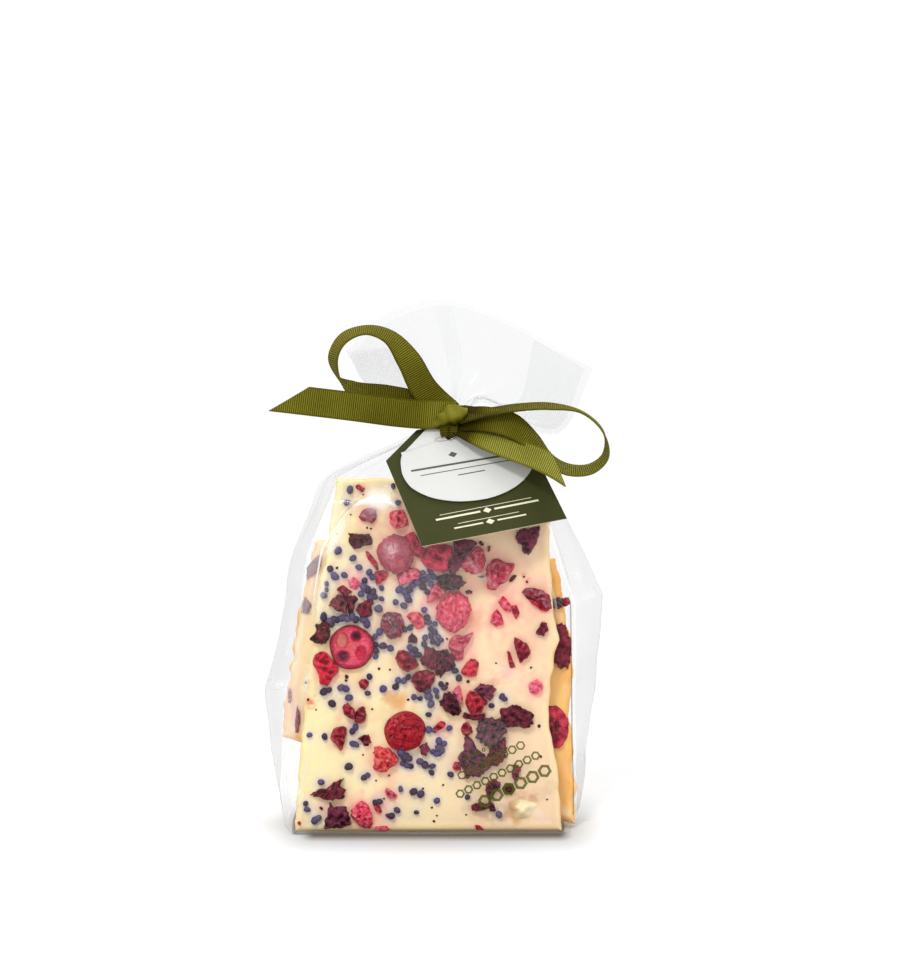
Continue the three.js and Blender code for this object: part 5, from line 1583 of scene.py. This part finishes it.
# ribbon
ribbon = {"width": 9.7, "thickness": 0.5, "tiedThickness": 0.45, "ribPitch": 0.7, "ribHeight": 0.05,
          "cup": 0.18, "edge": (4.1, 4.4), "thread": 0.28,
          "face": ((80, 76, 10), (168, 168, 78)), "edgeShade": (98, 92, 16), "worn": (92, 82, 10)}
# each strand's middle line as [place, direction across the strip], outwards from the knot
strands = {
    "left_tail": [
        [[7, -11.5, 141.2], [0.1, 0.1, 0.9]], [[-1.2, -12.5, 141.2], [0.08, 0.1, 1]],
        [[-11.2, -13.4, 142], [0.1, 0.05, 1]], [[-28, -14.4, 144.3], [0.13, 0, 1]],
        [[-54.5, -15.8, 147.6], [0.13, -0.05, 1]],
    ],
    "right_tail": [
        [[7.5, -11.5, 138.8], [0.3, 0.6, 0.7]], [[15.5, -14.4, 134.4], [0.25, 0.7, 0.66]],
        [[22.2, -15.4, 131.5], [0.23, 0.72, 0.65]], [[35.6, -16.6, 126.5], [0.3, 0.7, 0.64]],
        [[40.9, -17, 123.9], [0.38, 0.68, 0.6]], [[46.1, -17.2, 120.7], [0.42, 0.68, 0.58]],
    ],
    "left_loop": [
        [[5, -11, 141.5], [0.75, 0.25, 0.6]], [[-3.2, -10.8, 150], [0.8, 0.4, 0.42]],
        [[-8.4, -10, 159.6], [0.7, 0.65, 0.35]], [[-14.8, -9.2, 167.2], [0.25, 0.92, 0.31]],
        [[-22.5, -8.6, 169.5], [0.02, 0.97, 0.22]], [[-30.3, -8.6, 166.6], [-0.22, 0.95, 0.2]],
        [[-33.8, -8.6, 160], [-0.33, 0.94, 0]], [[-31.8, -8.6, 152.8], [-0.17, 0.97, 0.1]],
        [[-27, -8.6, 149], [0, 0.85, 0.52]], [[-15, -9, 146.8], [0.05, 0.7, 0.7]],
        [[5, -10.4, 142], [0.2, 0.4, 0.88]],
    ],
    "right_loop": [
        [[9.5, -10.8, 141], [0.1, 0.8, 0.5]], [[18, -9.9, 141.6], [0.05, 0.97, 0.18]],
        [[27.3, -9, 143], [0.05, 1, 0.15]], [[39, -8.6, 143.5], [0.03, 1, 0.12]],
        [[50, -8.4, 141.3], [0.02, 1, -0.03]], [[57, -8.4, 134.6], [0, 1, 0]],
        [[57.6, -8.4, 127], [-0.15, 0.98, 0.05]],
        [[52.8, -8.6, 122.7], [-0.12, 0.97, 0.2]], [[45.1, -8.8, 122.5], [0.05, 0.96, 0.28]],
        [[38.6, -9.3, 126.2], [0.24, 0.93, 0.2]], [[32.9, -10.2, 132.4], [0.36, 0.83, 0.41]],
        [[25.9, -11.6, 137.7], [0.25, 0.6, 0.76]], [[17.3, -12, 139.8], [0.1, 0.6, 0.78]],
        [[9.5, -11.4, 139.6], [0.1, 0.6, 0.7]],
    ],
}
# painted light and shade along each strand: how light the strip is, browner where it is darker
strandPaintedShade = {
    "left_tail": [[0, 0.6], [0.1, 0.75], [0.2, 0.45], [0.4, 0.48], [0.6, 0.6], [1, 0.68]],
    "right_tail": [[0, 0.1], [0.13, 0.14], [0.22, 0.7], [0.3, 0.95], [1, 1]],
    "left_loop": [[0, 0.6], [0.08, 0.32], [0.2, 0.45], [0.3, 0.52], [0.45, 0.68], [0.66, 0.6], [0.74, 0.36],
                  [0.92, 0.34], [1, 0.6]],
    "right_loop": [[0, 0.2], [0.08, 0.22], [0.18, 0.42], [0.3, 0.55], [0.55, 0.85], [0.72, 0.8], [0.83, 0.5],
                   [0.9, 0.55], [0.96, 0.14], [1, 0.1]],
}
endCut = {"left_tail": 12.5, "right_tail": 10}


def makeGrosgrain():
    # ribs across the strip from its own lengths, calmer on the knot, with a plain woven edge and uneven dye
    made, tree, shader = newMaterial("olive_grosgrain", Roughness=0.65, Specular_IOR_Level=0.06)
    lay = separate(tree, attribute(tree, "lay")["Vector"])
    phase = mathNode(tree, "MULTIPLY", lay[0], 2 * math.pi / (ribbon["ribPitch"] / 1000))
    calm = mathNode(tree, "MULTIPLY_ADD", lay[2], -500.0, 0.5)
    wave = mathNode(tree, "ADD", mathNode(tree, "MULTIPLY", mathNode(tree, "SINE", phase), calm), 0.5)
    inner, outer = (side / 1000 for side in ribbon["edge"])
    edge = mapRange(tree, mathNode(tree, "ABSOLUTE", lay[1]), inner, outer, 0.0, 1.0)
    threadPhase = mathNode(tree, "MULTIPLY", lay[1], 2 * math.pi / (ribbon["thread"] / 1000))
    threads = mathNode(tree, "MULTIPLY", mathNode(tree, "SINE", threadPhase), 0.12)
    ribs = mathNode(tree, "MULTIPLY", wave, mathNode(tree, "SUBTRACT", 1.0, edge))
    raised = mathNode(tree, "ADD", ribs, threads)
    blotches = addMottle(tree, 70.0, 2600.0, 0.35, 1.2)
    dark, light = (linearColour(*shade) for shade in ribbon["face"])
    face = mixColour(tree, wave, dark, light)
    face = mixColour(tree, mathNode(tree, "MULTIPLY", edge, 0.75), face, linearColour(*ribbon["edgeShade"]))
    dyed = mapRange(tree, blotches["Tone"], 0.35, 0.65, 0.0, 0.4)
    worn = mixColour(tree, dyed, face, linearColour(*ribbon["worn"]))
    # the tone attribute multiplies in the ribbon's painted light and shade
    toned = mixColour(tree, 1.0, worn, attribute(tree, "tone")["Color"], "MULTIPLY")
    tree.links.new(toned, shader.inputs["Base Color"])
    addBump(tree, shader, raised, 0.8, 0.00022)
    return made


grosgrain = makeGrosgrain()


def ribbonMarks(run, aside, calm, level):
    # lengths along and across the strip, how calm its ribs are, and its tone, for both faces: browner where
    # darker, as red falls with the level's 0.9th power, green as the level and blue with its power 2.6
    # the tone is painted light and shade
    run, aside, calm, level = (each.ravel() for each in np.broadcast_arrays(run, aside, calm, level))
    lay = np.stack([run, aside, calm], -1) / 1000
    tone = np.stack([level**0.9, level, level**2.6], -1)
    return {"lay": np.concatenate([lay, lay]), "tone": np.concatenate([tone, tone])}


def strandMesh(name, rowsEach=0.175, columns=9):
    # a strip along its middle line whose direction across turns with it; a tail's far edge is cut shorter
    line = [point for point, _ in strands[name]]
    turns = unit(np.array([across for _, across in strands[name]], float))
    toRun, length = evenRun(line)
    rows = int(length / rowsEach)
    u, v = np.meshgrid(np.linspace(0, 1, rows), np.linspace(0, 1, columns), indexing="ij")
    along = u * (1 - endCut.get(name, 0) / length * v)
    at = toRun(along.ravel())
    across = unit(curvePoint(turns, at)).reshape(rows, columns, 3)
    offset = (v - 0.5) * ribbon["width"]
    surface = curvePoint(line, at).reshape(rows, columns, 3) + across * offset[..., None]
    # a slight cup across the strip, and ribs that stand up a little in the mesh too
    normal = unit(np.cross(np.gradient(surface, axis=0), np.gradient(surface, axis=1)))
    surface = surface + normal * (ribbon["cup"] * (2 * v - 1) ** 2)[..., None]
    ribs = ribbon["ribHeight"] * np.sin(2 * np.pi * along * length / ribbon["ribPitch"])
    points, quads = sheetSolid(surface, ribbon["thickness"] + ribs)
    marks = ribbonMarks(along * length, offset, 0.0, onTrack(strandPaintedShade[name], along))
    return points, quads, noTriangles, marks


knot = {"middle": (5.6, -11.2, 140.2), "half": (4.6, 2.7), "tilt": -0.38, "width": 13.0, "calm": 0.75}


def knotMesh(rows=190, columns=41, thickness=0.55):
    # the strip wrapped once over the crossing: oval loops in y and z that shrink to both ends as
    # (1 - 0.6 |v|^2.6), puckered by soft folds along them and tilted as a whole
    turn = np.linspace(0.15, 2 * np.pi + 0.15, rows)[:, None]
    v = np.linspace(-1, 1, columns)[None, :]
    halfDepth, halfHeight = knot["half"]
    taper = 1 - 0.6 * np.abs(v) ** 2.6
    folds = 0.4 * np.sin(3.6 * v + 1.1 * np.sin(turn) + 0.4) + 0.3 * np.sin(11 * v - 0.8 * np.cos(turn) + 1.0)
    bump = 1.3 * np.exp(-(((v - 0.3) / 0.3) ** 2)) * np.exp(-(((turn - 1.4) / 0.55) ** 2))
    out = folds * (1 - np.abs(v) ** 4) + bump
    across = v * knot["width"] / 2 * (1 - 0.22 * (0.5 - 0.5 * np.sin(turn)))
    y = -(halfDepth * taper + out) * np.cos(turn)
    z = (halfHeight * taper + out) * np.sin(turn) - 0.5 * v**2
    cos, sin = math.cos(knot["tilt"]), math.sin(knot["tilt"])
    surface = np.stack([across * cos + z * sin, y, z * cos - across * sin], -1) + np.array(knot["middle"])
    points, quads = sheetSolid(surface, thickness)
    # painted shade: darker over the knot's lower half, where it would be in its own shadow, with a slight
    # ripple
    level = (0.66 + 0.1 * np.sin(5 * v + 2 * turn)) * (0.3 + 0.7 * smoothStep(np.sin(turn) * 1.3 + 0.8))
    marks = ribbonMarks((turn - turn[0]) * 3.8 + 0.8 * v, v * 3.8, knot["calm"], level)
    return points, quads, noTriangles, marks


# painted shade: the band round the neck is laid at half the ribbon's lightness
band = {"middle": (7, 0, 138.8), "half": (7.5, 6.1), "height": 6.4, "tone": 0.5}


def bandMesh(rows=220, columns=17):
    # the strip round the neck: an oval in x and y with small pleats, its edges drawn in
    turn = np.linspace(0, 2 * np.pi, rows)[:, None]
    v = np.linspace(-1, 1, columns)[None, :]
    out = 0.22 * np.sin(5 * v + 2 * np.sin(3 * turn)) + 0.25 * (1 - v**2)
    x = band["middle"][0] + (band["half"][0] + out) * np.cos(turn)
    y = band["middle"][1] + (band["half"][1] + out) * np.sin(turn)
    z = band["middle"][2] + v * band["height"] / 2 + 0.4 * np.sin(turn + 0.5)
    surface = np.stack([x, y, z], -1)
    points, quads = sheetSolid(surface, ribbon["tiedThickness"])
    marks = ribbonMarks(turn * 6.8, v * ribbon["width"] / 2, 0.0, band["tone"])
    return points, quads, noTriangles, marks


hanger = {
    "points": [[5.6, -12, 139.4], [5.1, -15, 137.2], [5, -14.9, 135], [5, -12.4, 133.5],
               [5, -10.2, 132.9], [5, -8.4, 133.8], [5.2, -7.4, 137], [5.4, -7.2, 139]],
    "widths": [[0, 5.6], [0.22, 5.6], [0.36, 5.2], [0.45, 4.4], [0.6, 3.6], [1, 4]],
}


def hangerMesh(rows=90, columns=15):
    # the folded strip that holds the tags: narrow where it goes through their holes, creased down its middle
    toRun, length = evenRun(hanger["points"])
    share = np.linspace(0, 1, rows)
    line = curvePoint(hanger["points"], toRun(share))
    v = np.linspace(-1, 1, columns)
    width = onTrack(hanger["widths"], share)
    across = np.array([1.0, 0, 0])
    normal = unit(np.cross(across, unit(np.gradient(line, axis=0))))
    fold = 0.8 * np.abs(v) ** 0.7 * (1 - np.abs(v) ** 3) * 1.6 - 0.4 * (1 - v**2)
    surface = line[:, None] + across * (v[None, :, None] * width[:, None, None] / 2)
    surface = surface + normal[:, None] * fold[None, :, None]
    points, quads = sheetSolid(surface, ribbon["tiedThickness"])
    # painted shade: the hanging strip is kept dark, darkest down its crease and next to the knot
    crease = 0.34 - 0.2 * np.exp(-((v / 0.16) ** 2))
    level = crease * np.interp(share, [0, 0.12, 0.3], [0.3, 0.55, 1])[:, None]
    marks = ribbonMarks(share[:, None] * length, v * 4.2, 0.0, level)
    return points, quads, noTriangles, marks


def makeRibbon():
    pieces = {"ribbon_" + name: strandMesh(name) for name in strands}
    pieces["ribbon_band"] = bandMesh()
    pieces["ribbon_knot"] = knotMesh()
    pieces["ribbon_hanger"] = hangerMesh()
    for name, (points, quads, triangles, marks) in pieces.items():
        made = makePiece(name, points, quads, triangles, grosgrain, marks=marks, crease=50)
        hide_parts("ribbon_bow")


makeRibbon()
print("ribbon tied")


# swing tags
hole = {"across": 26.0, "up": 41.7, "radius": 1.4, "slotHalf": (4.6, 0.95), "slotMiddle": (25.1, 41.6)}
card = {"width": 53, "shoulder": 37, "top": 46.9, "topHalf": 11, "thickness": 0.5, "inFront": 0.0,
        "face": ((62, 63, 24), (48, 52, 16), 0.7, 0.25), "edge": ((226, 216, 192), (206, 196, 170), 0.7, 0.3),
        "ink": ((226, 220, 196), (214, 206, 180), 0.5, 0.1)}
# the white label's outline on the card's plane: cut shoulders with a small burr, then a round belly
label = {"cut": [[35.9, 46.4], [18.5, 46.3], [8.0, 39.3], [7.1, 38.9], [6.6, 39.3]],
         "round": [[6.5, 38.1], [5.4, 36.2], [4.4, 33.3], [3.9, 30.6], [4.0, 28.0], [4.9, 24.8], [7.2, 21.7],
                   [10.6, 18.9], [14.6, 16.9], [19.6, 15.3], [24.9, 14.5], [30.4, 14.4], [35.2, 15.1],
                   [39.4, 16.3], [43.1, 17.9], [46.3, 19.9], [48.9, 22.1], [50.7, 24.5], [51.7, 27.1],
                   [51.9, 29.8], [51.3, 32.4], [49.9, 35.0], [47.5, 37.8], [44.5, 40.3]],
         "thickness": 0.45, "inFront": 1.1,
         "face": ((208, 208, 205), (199, 199, 196), 0.6, 0.3),
         "edge": ((206, 206, 202), (200, 200, 198), 0.7, 0.3),
         "ink": ((62, 66, 56), (96, 98, 86), 0.5, 0.1), "slot": ((190, 166, 154), (158, 128, 116), 0.7, 0.2)}
printLift = 0.06


def runRound(corners, spacing=0.5):
    # points along a closed outline, with every corner kept
    ring = np.concatenate([corners, corners[:1]])
    runs = [np.linspace(a, b, max(1, round(float(np.linalg.norm(b - a)) / spacing)), endpoint=False)
            for a, b in zip(ring[:-1], ring[1:])]
    return np.concatenate(runs)


def cardOutline():
    width, middle, top = card["width"], card["width"] / 2, card["topHalf"]
    return runRound(np.array([[0, 0], [width, 0], [width, card["shoulder"]], [middle + top, card["top"]],
                              [middle - top, card["top"]], [0, card["shoulder"]]], float))


def labelOutline():
    belly = curvePoint(label["round"], np.linspace(0, 1, 170))
    return runRound(np.concatenate([label["cut"], belly]), 0.6)


def tagMesh(outline, thickness, inFront, rings=22, step=0.05):
    # rings from the hole's rim out to the outline, on both faces, closed by the cut edges
    middle = np.array([hole["across"], hole["up"]])
    inner = middle + hole["radius"] * unit(outline - middle)
    flat = inner + (outline - inner) * (np.linspace(0, 1, rings) ** 1.2)[:, None, None]
    a, b = flat[..., 0], flat[..., 1]
    along = tagPoint(a + step, b, inFront) - tagPoint(a - step, b, inFront)
    upward = tagPoint(a, b + step, inFront) - tagPoint(a, b - step, inFront)
    half = unit(np.cross(along, upward)) * thickness / 2
    surface = tagPoint(a, b, inFront)
    loops = np.concatenate([surface + half, (surface - half)[::-1]])
    number = np.arange(loops[..., 0].size).reshape(loops.shape[:2])
    quads = gridFaces(np.concatenate([number, number[:1]]), True)
    isEdge = np.zeros(number.shape, int)
    isEdge[[rings - 1, -1]] = 1
    return loops.reshape(-1, 3), quads, isEdge.ravel()


def makeCardMaterial(name, face, other, rough, fibre):
    # printed or plain card: a slight blotch and paper fibre, matt, with the fibre in relief
    made, tree, shader = newMaterial(name, Roughness=rough, Specular_IOR_Level=0.2)
    blotches = addMottle(tree, 120.0, 2400.0, 0.5, 1.0)
    colour = mixColour(tree, blotches["Tone"], linearColour(*face), linearColour(*other))
    tree.links.new(colour, shader.inputs["Base Color"])
    uneven = mapRange(tree, blotches["Tone"], 0.2, 0.8, rough - 0.06, rough + 0.08)
    tree.links.new(uneven, shader.inputs["Roughness"])
    addBump(tree, shader, blotches["Height"], fibre, 0.00012)
    return made


def strip(a0, b0, a1, b1, width, inFront, cells=14):
    # a straight printed line on a tag, from one flat place to another
    start, end = np.array([a0, b0], float), np.array([a1, b1], float)
    side = np.array([-(end - start)[1], (end - start)[0]])
    side = side / np.linalg.norm(side) * width / 2
    share = np.linspace(0, 1, cells)[:, None]
    line = start + (end - start) * share
    both = np.stack([line - side, line + side], 1)
    points = tagPoint(both[..., 0], both[..., 1], inFront).reshape(-1, 3)
    number = np.arange(len(points)).reshape(cells, 2)
    return points, gridFaces(number), noTriangles, {}


def lozenge(a, b, half, inFront):
    # a small square on its corner, a little flat
    corners = np.array([[-half, 0], [0, -half * 0.72], [half, 0], [0, half * 0.72]]) + [a, b]
    points = tagPoint(corners[:, 0], corners[:, 1], inFront)
    return points, np.array([[0, 1, 2, 3]]), noTriangles, {}


def makeRules(name, parts, ink):
    points, quads, _, _ = joined(parts)
    made = makePiece(name, points, quads, finish=ink, closed=False)


def makeTags():
    cardInk = makeCardMaterial("cream_ink", *card["ink"])
    labelInk = makeCardMaterial("grey_ink", *label["ink"])
    plans = [("green_card", "green_tag", "green_card", "green_card", card, cardOutline()),
             ("white_label", "white_tag", "white_card", "white_card", label, labelOutline())]
    for name, cad, slot, finish, look, outline in plans:
        face = makeCardMaterial(finish, *look["face"])
        edge = makeCardMaterial(finish + "_edge", *look["edge"])
        points, quads, isEdge = tagMesh(outline, look["thickness"], look["inFront"])
        made = makePiece(name, points, quads, finish=face, crease=35)
        made.data.materials.append(edge)
        made.data.polygons.foreach_set("material_index", isEdge.astype(np.int32))
        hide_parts(cad)
    # plain rules and lozenges where a card of this kind is printed
    front = card["thickness"] / 2 + printLift
    parts = []
    for up, start, end, width in ((9.6, 8.5, 46.5, 0.75), (4.9, 13.5, 40.0, 0.6)):
        middle = (start + end) / 2
        parts += [strip(start, up, middle - 2.6, up, width, front),
                  strip(middle + 2.6, up, end, up, width, front),
                  strip(start + 2, up + 1.6, end - 2, up + 1.6, 0.22, front, 26),
                  lozenge(middle, up, 1.6, front)]
    makeRules("green_card_rules", parts, cardInk)
    front = label["inFront"] + label["thickness"] / 2 + printLift
    parts = [strip(7.4, 31.2, 42.0, 30.2, 0.8, front, 30), strip(10.0, 28.6, 43.5, 27.9, 0.35, front, 30),
             strip(23.0, 25.9, 33.2, 25.8, 0.4, front, 12), lozenge(24.5, 34.6, 1.7, front)]
    makeRules("white_label_rules", parts, labelInk)
    # the punched slot that the ribbon goes through shows as a thin brown-pink line of painted shade, pink
    # from painted reflection
    turn = np.linspace(0, 2 * np.pi, 60, endpoint=False)
    wide, tall = (half + np.array([[-0.2], [0.0], [0.2]]) for half in hole["slotHalf"])
    across, up = hole["slotMiddle"]
    points = tagPoint(across + wide * np.cos(turn), up + tall * np.sin(turn), front).reshape(-1, 3)
    number = np.arange(len(points)).reshape(3, -1)
    rose = makeCardMaterial("slot_edge", *label["slot"])
    made = makePiece("white_label_slot", points, gridFaces(number, True), finish=rose, closed=False)


makeTags()
print("tags hung")
